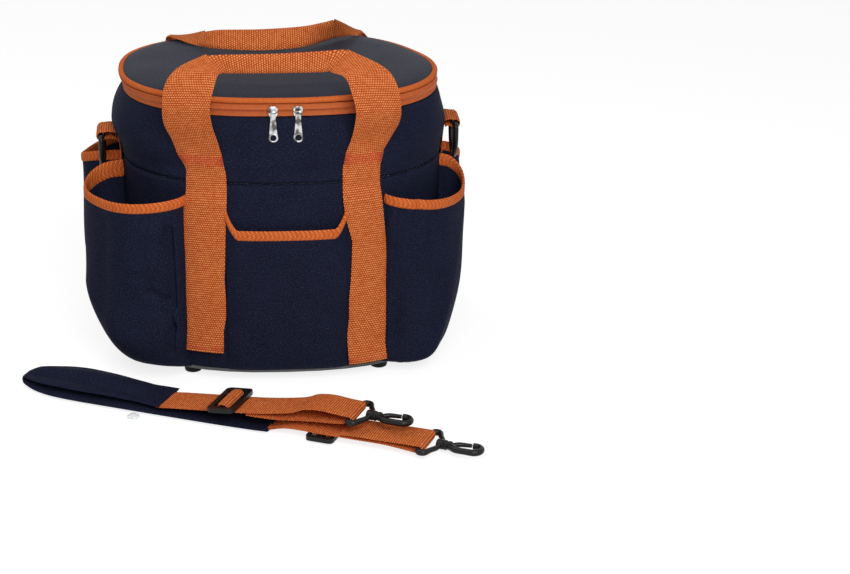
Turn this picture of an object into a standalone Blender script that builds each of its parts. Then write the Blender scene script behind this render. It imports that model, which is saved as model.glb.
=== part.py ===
"""Grooming bag with a zipped lid, six pockets, webbing handles and a shoulder strap.

Metres, +X to the viewer's right, -Y to the front, +Z up. The origin is the
centre of the base panel's underside; the bag stands on four feet below it.
Left and right are the viewer's.
"""
import math

import bmesh
import bpy
import numpy as np
from mathutils import Vector

# Cloth, webbing and clearances
GAP = 0.0003
PANEL_GAP = 0.0006
FABRIC = 0.0012
FOAM = 0.0040
LINING = 0.0010
BOARD = 0.0030
TAPE = 0.0012
WEBBING = 0.0016
WEBBING_WIDTH = 0.038

# Body outline, a superellipse at four heights
OUTLINE_POWER = 2.4
OUTLINE_STEPS = 40
BASE_HALF_WIDTH = 0.150
BASE_HALF_DEPTH = 0.112
SEAM_HEIGHT = 0.194
SEAM_HALF_WIDTH = 0.1525
SEAM_HALF_DEPTH = 0.116
BULGE_HEIGHT = 0.232
BULGE_HALF_WIDTH = 0.1575
BULGE_HALF_DEPTH = 0.1185
MOUTH_HEIGHT = 0.259
MOUTH_HALF_WIDTH = 0.1500
MOUTH_HALF_DEPTH = 0.1152

# Feet: tapered studs whose shanks are riveted over inside the base
FOOT_HEIGHT = 0.0085
FOOT_TOP_RADIUS = 0.0092
FOOT_SOLE_RADIUS = 0.0080
FOOT_SHANK_RADIUS = 0.0020
FOOT_HOLE_CLEARANCE = 0.0004
FOOT_X = 0.090
FOOT_Y = 0.076
RIVET_RADIUS = 0.0045
RIVET = 0.0010
FOOT_STEPS = 12

# Zip, lid and hinge
TAPE_HEIGHT = 0.0034
TEETH_HEIGHT = 0.0022
TEETH = 0.0024
HINGE_HALF_WIDTH = 0.050
PIPING_RADIUS = 0.0025
LID_DOME = 0.0055
LID_RING_SHARES = (1.0, 0.62, 0.2)

# Zip sliders and pulls
SLIDER_X = 0.0115
SLIDER_WIDTH = 0.0090
SLIDER_HEIGHT = 0.0095
SLIDER_PLATE = 0.0014
SLIDER_CLEARANCE = 0.0007
BAIL_RADIUS = 0.0007
BAIL_HEIGHT = 0.0024
BAIL_CORNER = 0.0009
EYE_HOLE_RADIUS = 0.0011
EYE_RADIUS = 0.0018
PULL_LENGTH = 0.0290
PULL_TOP_WIDTH = 0.0048
PULL_END_WIDTH = 0.0088
PULL = 0.0012
PULL_HOLE_RADIUS = 0.0029
PULL_HOLE_HEIGHT = 0.0044
PULL_TAPER_HEIGHT = 0.0075

# Handle straps and handles
STRAP_X = 0.0755
STRAP_FOOT = 0.012
STITCH_HEIGHT = 0.2225
GRIP = 0.0042
HANDLE_START_SAG = 0.0013

# Side straps and D-rings
RING_BAR_OUT = {-1: 0.0200, 1: 0.0151}
RING_BAR_HEIGHT = {-1: 0.2109, 1: 0.2183}
RING_WIRE = 0.0025
RING_INNER_WIDTH = 0.0400
RING_DROP = 0.0365
RING_BEND = 0.0060
STRAP_TURN_RISE = 0.0030
STRAP_OVER_BAR = ((0.07, 0.0030), (0.24, 0.0046), (0.64, 0.0034))
STRAP_RETURN = (0.0070, -0.0008)
STRAP_RETURN_END = (0.0019, 0.0008)

# Pockets
SIDE_STRAP_EDGE = WEBBING_WIDTH / 2 + PANEL_GAP
BINDING_HEIGHT = 0.0100
BINDING = 0.0032
POCKET_FOOT = 0.0026
POCKET_ROUNDING = 0.045
LEFT_POCKET_BELLY = 0.056
LEFT_POCKET_RIM = 0.048
RIGHT_POCKET_BELLY = 0.038
RIGHT_POCKET_RIM = 0.041
CENTRE_POCKET_BELLY = 0.0060
CENTRE_POCKET_RIM = 0.0075
FRONT_POCKET_HEIGHT = 0.1505
BACK_POCKET_HEIGHT = 0.1750
CORNER_RIM_AT_STRAP = 0.1815
CORNER_RIM_DIP = 0.1745
CORNER_RIM_AT_RING = 0.1890
CORNER_RIM_CLIMB_SHARE = 0.7
CORNER_POCKET_STEPS = 11
BACK_CORNER_RAISE = 0.0020
FRONT_POCKET_ENDS_RISE = 0.0220
POCKET_LEVELS = (0.0, 0.03, 0.09, 0.2, 0.35, 0.65, 1.0)

# Shoulder strap, which lies folded on the floor in front of the bag.
# Along is the distance from the fold, and heights are above the floor.
STRAP_FOLD = (-0.252, -0.090)
STRAP_TURN = math.radians(-24.9)
PAD_WIDTH = 0.050
PAD_END_WIDTH = 0.045
PAD_THICKNESS = 0.0044
PAD_EDGE = 0.0020
PAD_LOW = 0.0025
PAD_HIGH = 0.0080
PAD_FOLD = 0.012
PAD_UPPER_END = 0.156
PAD_END_RISE = 0.0010
PAD_LOWER_END = 0.265
STUD_RADIUS = 0.006
STUD_HEIGHT = 0.003
STUD_ALONG = 0.135
LOWER_SHIFT = -0.0065
UPPER_SHIFT = -0.0100
UPPER_SHIFT_EASE = (0.262, 0.300)
UPPER_WEB_START = (0.170, 0.0105)
UPPER_WEB_END = (0.290, 0.0228)
UPPER_WEB_TOP = ((0.312, 0.0262), (0.330, 0.0270))
UPPER_WEB_RETURN = ((0.325, 0.0170), (0.300, 0.0150), (0.275, 0.0150), (0.256, 0.0158))
UPPER_WEB_TIP = 0.244
LOWER_WEB_RUN = (0.285, 0.350, 0.385)
LOWER_WEB_RETURN = ((0.398, 0.0116), (0.375, 0.0108), (0.350, 0.0102))
LOWER_WEB_TIP = 0.335
FLOOR_CLEARANCE = 0.0002

ADJUSTER_WIDTH = 0.050
ADJUSTER_BAR = 0.0044
ADJUSTER_SLOT = 0.0064
ADJUSTER = 0.0038
ADJUSTER_SIDE = 0.0045
ADJUSTER_BEVEL = 0.0005
FOLD_CORNER = 0.0016
UPPER_ADJUSTER_ALONG = 0.221
LOWER_ADJUSTER_ALONG = 0.317

HOOK_BAR_RADIUS = 0.0022
HOOK_BAR_SPREAD = 0.0223
UPPER_HOOK = (0.3410, 0.0225)
LOWER_HOOK = (0.4110, 0.0082)
HOOK_LEG = 0.0070
HOOK_CROSS = 0.0140
HOOK_CROSS_HALF = 0.0075
BOSS_RADIUS = 0.0046
BOSS_START = 0.0112
BOSS_END = 0.0180
SHANK_RADIUS = 0.0019
SHANK_HEAD_RADIUS = 0.0034
SHANK_HEAD = 0.0022
COLLAR_END = 0.0257
COLLAR_RIM = 0.0030
COLLAR_TAPER = 0.0008
HOOK_WIRE = 0.0027
HOOK_HALF_WIDTH = 0.0068
HOOK_EYE_END = 0.0460
HOOK_NOSE = 0.0025
HOOK_SHOULDER = (0.0300, 0.0400)
GATE_WIRE = 0.0016
GATE_GAP = 0.0008
GATE_TIP_CLEARANCE = 0.0010
GATE_ROOT_ACROSS = 0.0022
GATE_KNEE = (0.0050, 0.0030)

# Heights that follow from the pieces stacked on each other
PLATE_TOP = FABRIC
BOARD_LOW = PLATE_TOP + GAP
BOARD_TOP = BOARD_LOW + BOARD
RIVET_LOW = BOARD_TOP + GAP
LINING_LOW = RIVET_LOW + RIVET + GAP
INNER_TOP = MOUTH_HEIGHT - 0.0025
LOWER_TAPE = (MOUTH_HEIGHT + GAP, MOUTH_HEIGHT + GAP + TAPE_HEIGHT)
LOWER_TEETH = (LOWER_TAPE[1] + GAP, LOWER_TAPE[1] + GAP + TEETH_HEIGHT)
UPPER_TEETH = (LOWER_TEETH[1] + GAP, LOWER_TEETH[1] + GAP + TEETH_HEIGHT)
UPPER_TAPE = (UPPER_TEETH[1] + GAP, UPPER_TEETH[1] + GAP + TAPE_HEIGHT)
HINGE_HEIGHT = (LOWER_TEETH[1] + UPPER_TEETH[0]) / 2
PIPING_HEIGHT = UPPER_TAPE[1] + GAP + PIPING_RADIUS
PIPING_INSET = PIPING_RADIUS - 0.0008
LID_INSET = PIPING_INSET + PIPING_RADIUS + GAP
HINGE_BACK = MOUTH_HALF_DEPTH + (TEETH - TAPE) / 2 + PIPING_RADIUS - PIPING_INSET
LID_HINGE = (0.0, HINGE_BACK, HINGE_HEIGHT)
FLOOR = -FOOT_HEIGHT


def clear_scene():
    for item in list(bpy.data.objects):
        bpy.data.objects.remove(item, do_unlink=True)


def finish(name, colour, roughness, metallic=0.0):
    """A Principled material in one colour."""
    material = bpy.data.materials.new(name)
    material.use_nodes = True
    shader = material.node_tree.nodes["Principled BSDF"]
    shader.inputs["Base Color"].default_value = (*colour, 1.0)
    shader.inputs["Roughness"].default_value = roughness
    shader.inputs["Metallic"].default_value = metallic
    return material


def add(item, parent=None, location=(0.0, 0.0, 0.0)):
    bpy.context.scene.collection.objects.link(item)
    item.location = location
    item.parent = parent
    return item


def loft(name, sections, material, ring=False, pivot=(0.0, 0.0, 0.0), parent=None, sharp=40.0):
    """A closed solid through equal-sized polygons, its origin at the pivot."""
    mesh_edit = bmesh.new()
    rows = [[mesh_edit.verts.new(Vector(p) - Vector(pivot)) for p in section] for section in sections]
    pairs = list(zip(rows, rows[1:]))
    if ring:
        pairs.append((rows[-1], rows[0]))
    for low, high in pairs:
        for i in range(len(low)):
            j = (i + 1) % len(low)
            mesh_edit.faces.new((low[i], low[j], high[j], high[i]))
    if not ring:
        mesh_edit.faces.new(rows[0])
        mesh_edit.faces.new(rows[-1])
    bmesh.ops.recalc_face_normals(mesh_edit, faces=mesh_edit.faces)
    mesh = bpy.data.meshes.new(name)
    mesh_edit.to_mesh(mesh)
    mesh_edit.free()
    mesh.shade_smooth()
    mesh.set_sharp_from_angle(angle=math.radians(sharp))
    mesh.materials.append(material)
    return add(bpy.data.objects.new(name, mesh), parent, pivot)


def combine(item, tool, operation):
    """Union with, or cut by, a hidden tool object."""
    tool.hide_render = True
    tool.display_type = "WIRE"
    modifier = item.modifiers.new(tool.name, "BOOLEAN")
    modifier.operation = operation
    modifier.object = tool


# Outline of the bag at a height

def wall_size(height):
    """Half width and half depth of the body's outer face."""
    heights = (0.0, SEAM_HEIGHT, BULGE_HEIGHT, MOUTH_HEIGHT)
    widths = (BASE_HALF_WIDTH, SEAM_HALF_WIDTH, BULGE_HALF_WIDTH, MOUTH_HALF_WIDTH)
    depths = (BASE_HALF_DEPTH, SEAM_HALF_DEPTH, BULGE_HALF_DEPTH, MOUTH_HALF_DEPTH)
    return np.interp(height, heights, widths), np.interp(height, heights, depths)


def signed_power(value, power):
    return math.copysign(abs(value) ** power, value)


def outline_point(half_width, half_depth, angle, height):
    """A point of the superellipse; angle 0 is +X and 90 degrees is +Y."""
    x = half_width * signed_power(math.cos(angle), 2 / OUTLINE_POWER)
    y = half_depth * signed_power(math.sin(angle), 2 / OUTLINE_POWER)
    return (x, y, height)


def outline(half_width, half_depth, height):
    """Outline points at even steps of the angle."""
    return [outline_point(half_width, half_depth, 2 * math.pi * i / OUTLINE_STEPS, height)
            for i in range(OUTLINE_STEPS)]


def wall_ring(height, inset=0.0):
    half_width, half_depth = wall_size(height)
    return outline(half_width - inset, half_depth - inset, height)


def wall_point(angle, height, out):
    """A point that stands a distance out from the body's wall."""
    half_width, half_depth = wall_size(height)
    x, y, z = outline_point(half_width, half_depth, angle, height)
    nx = signed_power(x / half_width, OUTLINE_POWER - 1) / half_width
    ny = signed_power(y / half_depth, OUTLINE_POWER - 1) / half_depth
    length = math.hypot(nx, ny)
    return (x + out * nx / length, y + out * ny / length, z)


def angle_at_x(x, front=True):
    """The outline's angle where it has this x, on the front or the back."""
    angle = math.acos(signed_power(x / SEAM_HALF_WIDTH, OUTLINE_POWER / 2))
    return -angle if front else angle


def angle_at_side(y, side):
    """The outline's angle where it has this y, on the left (-1) or right (1)."""
    angle = math.asin(signed_power(y / SEAM_HALF_DEPTH, OUTLINE_POWER / 2))
    return angle if side > 0 else math.pi - angle


# Base

def foot_places():
    return [(sx * FOOT_X, sy * FOOT_Y) for sx in (-1, 1) for sy in (-1, 1)]


def disc(radius, height, x=0.0, y=0.0, steps=FOOT_STEPS):
    return [(x + radius * math.cos(2 * math.pi * i / steps),
             y + radius * math.sin(2 * math.pi * i / steps), height) for i in range(steps)]


def drilled(plate):
    """Cuts the four foot holes through a flat plate."""
    for i, (x, y) in enumerate(foot_places()):
        radius = FOOT_SHANK_RADIUS + FOOT_HOLE_CLEARANCE
        drill = loft(f"{plate.name}_drill_{i}", [disc(radius, -0.01, x, y), disc(radius, 0.02, x, y)],
                     plate.data.materials[0])
        combine(plate, drill, "DIFFERENCE")


def make_base(fabric, board, plastic):
    panel = loft("base_panel", [outline(BASE_HALF_WIDTH, BASE_HALF_DEPTH, 0.0),
                                outline(BASE_HALF_WIDTH, BASE_HALF_DEPTH, PLATE_TOP)], fabric)
    inset = FABRIC + GAP
    stiffener = loft("base_board", [wall_ring(BOARD_LOW, inset), wall_ring(BOARD_TOP, inset)], board)
    drilled(panel)
    drilled(stiffener)

    for (x, y), place in zip(foot_places(), ("front_left", "back_left", "front_right", "back_right")):
        profile = [(FOOT_SOLE_RADIUS - 0.001, FLOOR), (FOOT_SOLE_RADIUS, FLOOR + 0.001),
                   (FOOT_TOP_RADIUS, -GAP), (FOOT_SHANK_RADIUS, -GAP), (FOOT_SHANK_RADIUS, RIVET_LOW),
                   (RIVET_RADIUS, RIVET_LOW), (RIVET_RADIUS - 0.0005, RIVET_LOW + RIVET)]
        loft(f"foot_{place}", [disc(radius, z, x, y) for radius, z in profile], plastic)


# Body shells, from the outside in

def shell(name, heights, outer, thickness, material):
    """A standing wall that follows the body's outline, open above and below."""
    outside = [wall_ring(z, outer) for z in heights]
    inside = [wall_ring(z, outer + thickness) for z in reversed(heights)]
    return loft(name, outside + inside, material, ring=True)


def make_body(fabric, foam, lining):
    shell("body_wall", (PLATE_TOP + GAP, SEAM_HEIGHT - GAP / 2), 0.0, FABRIC, fabric)
    band = (SEAM_HEIGHT + GAP / 2, BULGE_HEIGHT, MOUTH_HEIGHT)
    shell("body_upper_band", band, 0.0, FABRIC, fabric)
    stack = (BOARD_TOP + GAP, SEAM_HEIGHT, BULGE_HEIGHT, INNER_TOP)
    shell("wall_foam", stack, FABRIC + GAP, FOAM, foam)
    outer = FABRIC + GAP + FOAM + GAP
    heights = (LINING_LOW, SEAM_HEIGHT, BULGE_HEIGHT, INNER_TOP)
    cup = [wall_ring(z, outer) for z in heights]
    cup += [wall_ring(z, outer + LINING) for z in reversed(heights[1:])]
    cup.append(wall_ring(LINING_LOW + LINING, outer + LINING))
    loft("body_lining", cup, lining)


# Zip, lid and the fabric hinge between them

def rim_band(name, heights, thickness, material, back=False, pivot=(0.0, 0.0, 0.0)):
    """A band on the mouth's outline: round the front, or across the back hinge."""
    edge = HINGE_HALF_WIDTH + (-GAP if back else GAP)
    right = angle_at_x(edge, front=False)
    left = angle_at_x(-edge, front=False)
    start, end = (right, left) if back else (left, right + 2 * math.pi)
    steps = 6 if back else OUTLINE_STEPS - 6
    proud = (thickness - TAPE) / 2
    low, high = heights
    sections = []
    for i in range(steps + 1):
        angle = start + (end - start) * i / steps
        outer = (MOUTH_HALF_WIDTH + proud, MOUTH_HALF_DEPTH + proud)
        inner = (outer[0] - thickness, outer[1] - thickness)
        sections.append([outline_point(*outer, angle, low), outline_point(*outer, angle, high),
                         outline_point(*inner, angle, high), outline_point(*inner, angle, low)])
    return loft(name, sections, material, pivot=pivot)


def lid_plate(name, low, thickness, dome, material):
    """A lid layer inside the piping, raised towards the middle."""
    half_width = MOUTH_HALF_WIDTH - LID_INSET
    half_depth = MOUTH_HALF_DEPTH - LID_INSET
    rise = [dome * (1 - s * s) for s in LID_RING_SHARES]
    under = [outline(half_width * s, half_depth * s, low + h) for s, h in zip(LID_RING_SHARES, rise)]
    over = [outline(half_width * s, half_depth * s, low + h + thickness) for s, h in zip(LID_RING_SHARES, rise)]
    return loft(name, under[::-1] + over, material, pivot=LID_HINGE, sharp=60.0)


def make_lid(fabric, foam, lining, orange, zip_tape):
    top_low = PIPING_HEIGHT - FABRIC / 2
    foam_low = top_low - GAP - FOAM
    lid_plate("lid_top", top_low, FABRIC, LID_DOME, fabric)
    lid_plate("lid_foam", foam_low, FOAM, LID_DOME, foam)
    lid_plate("lid_lining", foam_low - GAP - LINING, LINING, LID_DOME, lining)

    tube = []
    for angle in np.arange(OUTLINE_STEPS) * 2 * math.pi / OUTLINE_STEPS:
        section = []
        for corner in range(6):
            turn = corner * math.pi / 3
            inset = PIPING_INSET - PIPING_RADIUS * math.cos(turn)
            section.append(outline_point(MOUTH_HALF_WIDTH - inset, MOUTH_HALF_DEPTH - inset, angle,
                                         PIPING_HEIGHT + PIPING_RADIUS * math.sin(turn)))
        tube.append(section)
    loft("lid_piping", tube, orange, ring=True, pivot=LID_HINGE, sharp=80.0)

    rim_band("zip_tape_lower", LOWER_TAPE, TAPE, zip_tape)
    rim_band("zip_teeth_lower", LOWER_TEETH, TEETH, zip_tape)
    rim_band("zip_teeth_upper", UPPER_TEETH, TEETH, zip_tape, pivot=LID_HINGE)
    rim_band("zip_tape_upper", UPPER_TAPE, TAPE, zip_tape, pivot=LID_HINGE)
    rim_band("hinge_strip_body", (LOWER_TAPE[0], LOWER_TEETH[1]), TAPE, fabric, back=True)
    rim_band("hinge_strip_lid", (UPPER_TEETH[0], UPPER_TAPE[1]), TAPE, fabric, back=True, pivot=LID_HINGE)


# Zip sliders, which run along the front edge, and their pulls

def slider_place(side):
    """Where the zip's outer face is behind a slider."""
    x = side * SLIDER_X
    share = 1 - abs(x / MOUTH_HALF_WIDTH) ** OUTLINE_POWER
    face = MOUTH_HALF_DEPTH * share ** (1 / OUTLINE_POWER) + (TEETH - TAPE) / 2
    return x, -face


def box(x, y, z):
    """Two sections of a block from three (low, high) pairs."""
    return [[(x[0], y[0], h), (x[1], y[0], h), (x[1], y[1], h), (x[0], y[1], h)] for h in z]


def side_disc(radius, x, y, z, steps=8):
    """A disc that faces along X."""
    return [(x, y + radius * math.cos(2 * math.pi * i / steps), z + radius * math.sin(2 * math.pi * i / steps))
            for i in range(steps)]


def make_slider(side, word, chrome):
    x, y = slider_place(side)
    face = y - SLIDER_CLEARANCE
    centre = HINGE_HEIGHT
    half = SLIDER_WIDTH / 2
    low = centre - SLIDER_HEIGHT / 2
    high = centre + SLIDER_HEIGHT / 2
    plate = loft(f"zip_slider_{word}", box((x - half, x + half), (face - SLIDER_PLATE, face), (low, high)),
                 chrome, pivot=(x, face, centre))
    bevel = plate.modifiers.new("edges", "BEVEL")
    bevel.width = 0.0003
    bevel.segments = 1

    bar = face - SLIDER_PLATE - BAIL_HEIGHT
    spread = SLIDER_WIDTH / 2 - BAIL_RADIUS
    corner = BAIL_CORNER
    route = [(x - spread, face - SLIDER_PLATE / 2), (x - spread, bar + corner), (x - spread + corner, bar),
             (x + spread - corner, bar), (x + spread, bar + corner), (x + spread, face - SLIDER_PLATE / 2)]
    arch = [[(px, py, centre + pz) for px, py, pz in section] for section in flat_tube(route, BAIL_RADIUS, False)]
    combine(plate, loft(f"zip_slider_{word}_bail", arch, chrome), "UNION")

    ends = (x - PULL_TOP_WIDTH / 2, x + PULL_TOP_WIDTH / 2)
    eye = [side_disc(radius, end, bar, centre) for radius, end in
           ((EYE_RADIUS, ends[0]), (EYE_RADIUS, ends[1]), (EYE_HOLE_RADIUS, ends[1]), (EYE_HOLE_RADIUS, ends[0]))]
    pull = loft(f"zip_pull_{word}", eye, chrome, ring=True, pivot=(x, bar, centre))
    top = centre - (EYE_RADIUS + EYE_HOLE_RADIUS) / 2
    end = centre - PULL_LENGTH
    half_end = PULL_END_WIDTH / 2
    edge = [(top, PULL_TOP_WIDTH / 2 - 0.0001), (end + PULL_TAPER_HEIGHT, half_end - 0.0008),
            (end + PULL_HOLE_HEIGHT, half_end), (end + 0.0014, half_end - 0.0016), (end, half_end - 0.0036)]
    shape = [(x + w, z) for z, w in edge] + [(x - w, z) for z, w in reversed(edge)]
    faces = [[(bx, bar + d, bz) for bx, bz in shape] for d in (-PULL / 2, PULL / 2)]
    blade = loft(f"zip_pull_{word}_blade", faces,
                 chrome)
    combine(pull, blade, "UNION")
    rim = [(x + PULL_HOLE_RADIUS * math.cos(a), end + PULL_HOLE_HEIGHT + PULL_HOLE_RADIUS * math.sin(a))
           for a in np.arange(10) * math.pi / 5]
    drill = loft(f"zip_pull_{word}_hole", [[(hx, bar + d, hz) for hx, hz in rim] for d in (-0.01, 0.01)], chrome)
    combine(pull, drill, "DIFFERENCE")


# Handles: straps sewn flat to the body, with a free loop above the stitch line

def wall_patch(name, angles, heights, out, thickness, material):
    """A strip that follows the body's wall."""
    sections = []
    for z in heights:
        inner = [wall_point(a, z, out) for a in angles]
        outer = [wall_point(a, z, out + thickness) for a in angles]
        sections.append(outer + inner[::-1])
    return loft(name, sections, material)


def handle_strap_angles(side, front):
    half = WEBBING_WIDTH / 2
    places = np.linspace(STRAP_X - half, STRAP_X + half, 5)
    return [angle_at_x(side * x, front) for x in places]


def strap_edge(side, front, out_edge):
    """Where a free handle starts: an edge of its strap, just over the stitch line."""
    half = WEBBING_WIDTH / 2 if out_edge else -WEBBING_WIDTH / 2
    angle = angle_at_x(side * (STRAP_X + half), front)
    return wall_point(angle, STITCH_HEIGHT + 2 * GAP, GAP + WEBBING / 2)


def band_sections(stations):
    """Sections of a flat band; a station has its two edges, its sag and its thickness."""
    centres = [(Vector(a) + Vector(b)) / 2 for a, b, sag, thick in stations]
    sections = []
    for i, (a, b, sag, thick) in enumerate(stations):
        a = Vector(a)
        b = Vector(b)
        run = centres[min(i + 1, len(centres) - 1)] - centres[max(i - 1, 0)]
        if i == 0 or i == len(stations) - 1:
            run = Vector((0.0, 0.0, run.z))
        normal = (b - a).cross(run).normalized()
        step = normal * thick / 2
        middle = (a + b) / 2 + normal * sag
        sections.append([a + step, middle + step, b + step, b - step, middle - step, a - step])
    return sections


# Free edges of the handles: (outer or lower edge, inner or upper edge) for each station
FRONT_LEFT = [((-0.0985, -0.1100, 0.238), (-0.0600, -0.1205, 0.238)),
              ((-0.1050, -0.1200, 0.256), (-0.0640, -0.1300, 0.256)),
              ((-0.1090, -0.1270, 0.275), (-0.0670, -0.1360, 0.275)),
              ((-0.1080, -0.1270, 0.295), (-0.0640, -0.1330, 0.293)),
              ((-0.0960, -0.1225, 0.3095), (-0.0610, -0.1260, 0.3020)),
              ((-0.0700, -0.1195, 0.3212), (-0.0570, -0.1195, 0.3022))]
FRONT_RIGHT = [((0.0970, -0.1100, 0.238), (0.0580, -0.1205, 0.238)),
               ((0.1010, -0.1200, 0.254), (0.0600, -0.1300, 0.254)),
               ((0.1035, -0.1265, 0.269), (0.0620, -0.1355, 0.270)),
               ((0.1025, -0.1265, 0.289), (0.0600, -0.1330, 0.285)),
               ((0.0905, -0.1225, 0.307), (0.0540, -0.1260, 0.2990)),
               ((0.0570, -0.1195, 0.3240), (0.0420, -0.1195, 0.3025))]
FRONT_GRIP = [((-0.0520, -0.1188, 0.3200), (-0.0520, -0.1188, 0.3025)),
              ((-0.0085, -0.1188, 0.3205), (-0.0085, -0.1188, 0.3025)),
              ((0.0350, -0.1188, 0.3228), (0.0350, -0.1188, 0.3027))]
BACK_LEFT = [((-0.0985, 0.1110, 0.240), (-0.0600, 0.1215, 0.240)),
             ((-0.1090, 0.1060, 0.260), (-0.0820, 0.1260, 0.260)),
             ((-0.1095, 0.0940, 0.2785), (-0.1010, 0.1200, 0.2715)),
             ((-0.0985, 0.0690, 0.2820), (-0.0985, 0.0930, 0.2795)),
             ((-0.0865, 0.0505, 0.2825), (-0.0864, 0.0740, 0.2855)),
             ((-0.0739, 0.0391, 0.2825), (-0.0716, 0.0550, 0.2940))]
BACK_RIGHT = [((0.0985, 0.1110, 0.240), (0.0600, 0.1215, 0.240)),
              ((0.1020, 0.1080, 0.260), (0.0760, 0.1250, 0.260)),
              ((0.0930, 0.1050, 0.2785), (0.0860, 0.1280, 0.2715)),
              ((0.0788, 0.0794, 0.2820), (0.0759, 0.0940, 0.2843)),
              ((0.0687, 0.0712, 0.2825), (0.0645, 0.0640, 0.2975)),
              ((0.0546, 0.0618, 0.2830), (0.0540, 0.0440, 0.3065))]
BACK_GRIP = [((-0.0620, 0.0320, 0.2825), (-0.0620, 0.0400, 0.2985)),
             ((-0.0185, 0.0240, 0.2825), (-0.0185, 0.0400, 0.2985)),
             ((0.0200, 0.0310, 0.2830), (0.0200, 0.0400, 0.3005)),
             ((0.0415, 0.0490, 0.2830), (0.0405, 0.0420, 0.3030))]


def make_handle(word, front, left, right, grip, webbing):
    sag = HANDLE_START_SAG if front else -HANDLE_START_SAG
    stations = [(strap_edge(-1, front, True), strap_edge(-1, front, False), sag, WEBBING)]
    stations += [(a, b, 0.0, WEBBING) for a, b in left]
    stations += [(a, b, 0.0, GRIP) for a, b in grip]
    stations += [(a, b, 0.0, WEBBING) for a, b in reversed(right)]
    stations.append((strap_edge(1, front, True), strap_edge(1, front, False), sag, WEBBING))
    sections = band_sections(stations)
    pivot_y = max(abs(p[1]) for p in sections[0] + sections[-1])
    pivot = (0.0, -pivot_y if front else pivot_y, STITCH_HEIGHT + GAP)
    return loft(f"{word}_handle", sections, webbing, pivot=pivot)


def make_handles(webbing):
    for front, word in ((True, "front"), (False, "back")):
        for side, hand in ((-1, "left"), (1, "right")):
            wall_patch(f"{word}_strap_{hand}", handle_strap_angles(side, front),
                       (STRAP_FOOT, SEAM_HEIGHT, STITCH_HEIGHT), GAP, WEBBING, webbing)
    make_handle("front", True, FRONT_LEFT, FRONT_RIGHT, FRONT_GRIP, webbing)
    make_handle("back", False, BACK_LEFT, BACK_RIGHT, BACK_GRIP, webbing)


# Side straps, each folded round the bar of a D-ring

def ribbon(route, width, thickness):
    """Sections of a ribbon that follows (run, height) points, or (run, height, place across)."""
    sections = []
    for i, point in enumerate(route):
        before = route[max(i - 1, 0)]
        after = route[min(i + 1, len(route) - 1)]
        run = Vector((after[0] - before[0], after[1] - before[1])).normalized()
        across = Vector((-run.y, run.x)) * thickness / 2
        one = (point[0] + across.x, point[1] + across.y)
        two = (point[0] - across.x, point[1] - across.y)
        middle = point[2] if len(point) > 2 else 0.0
        near = middle - width / 2
        far = middle + width / 2
        sections.append([(one, near), (one, far), (two, far), (two, near)])
    return sections


def wrap(centre, radius, start, end, steps):
    """Points round a bar, from one angle to another."""
    angles = [start + (end - start) * i / steps for i in range(steps + 1)]
    return [(centre[0] + radius * math.cos(a), centre[1] + radius * math.sin(a)) for a in angles]


def make_side_strap(side, hand, webbing, plastic):
    lie = GAP + WEBBING / 2
    bar_height = RING_BAR_HEIGHT[side]
    bar = (SEAM_HALF_WIDTH + RING_BAR_OUT[side], bar_height)
    round_bar = RING_WIRE + GAP + WEBBING / 2
    foot_out = float(wall_size(STRAP_FOOT)[0]) + lie
    turn = bar_height + STRAP_TURN_RISE
    turn_out = float(wall_size(turn)[0]) + lie
    reach = bar[0] - turn_out
    route = [(foot_out, STRAP_FOOT), (SEAM_HALF_WIDTH + lie, SEAM_HEIGHT), (turn_out, turn)]
    route += [(turn_out + share * reach, turn + rise) for share, rise in STRAP_OVER_BAR]
    route += wrap(bar, round_bar, math.radians(100), math.radians(-100), 6)
    route += [(bar[0] - STRAP_RETURN[0], bar_height + STRAP_RETURN[1]),
              (turn_out + STRAP_RETURN_END[0], bar_height + STRAP_RETURN_END[1])]
    sections = [[(side * p[0], across, p[1]) for p, across in section]
                for section in ribbon(route, WEBBING_WIDTH, WEBBING)]
    loft(f"side_strap_{hand}", sections, webbing)

    half = RING_INNER_WIDTH / 2 + RING_WIRE
    shape = [(-half + 0.001, 0.0), (half - 0.001, 0.0), (half, -RING_BEND)]
    drop = RING_DROP - RING_BEND
    for a in np.linspace(0.25, math.pi - 0.25, 9):
        shape.append((half * math.cos(a), -RING_BEND - drop * math.sin(a)))
    shape.append((-half, -RING_BEND))
    tube = []
    for i, (y, z) in enumerate(shape):
        before = Vector(shape[i - 1])
        after = Vector(shape[(i + 1) % len(shape)])
        here = Vector((y, z))
        into = (here - before).normalized()
        out = (after - here).normalized()
        run = (into + out).normalized()
        normal = Vector((-run.y, run.x)) / max(run.dot(into), 0.5)
        section = []
        for corner in range(6):
            turn_angle = (corner + 0.5) * math.pi / 3
            side_step = RING_WIRE * math.cos(turn_angle)
            level = RING_WIRE * math.sin(turn_angle)
            section.append((side * bar[0] + level, y + normal.x * side_step,
                            bar_height + z + normal.y * side_step))
        tube.append(section)
    loft(f"d_ring_{hand}", tube, plastic, ring=True, pivot=(side * bar[0], 0.0, bar_height), sharp=80.0)


# Pockets: bellied panels with a bound rim

def belly(height, belly_out, rim_out, rim):
    """How far a pocket stands out at a height: rounded below, straight above."""
    if height < POCKET_ROUNDING:
        lean = 1 - height / POCKET_ROUNDING
        return belly_out * math.sqrt(max(1 - lean * lean, 0.0))
    share = (height - POCKET_ROUNDING) / (rim - POCKET_ROUNDING)
    return belly_out + (rim_out - belly_out) * min(share, 1.0)


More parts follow.
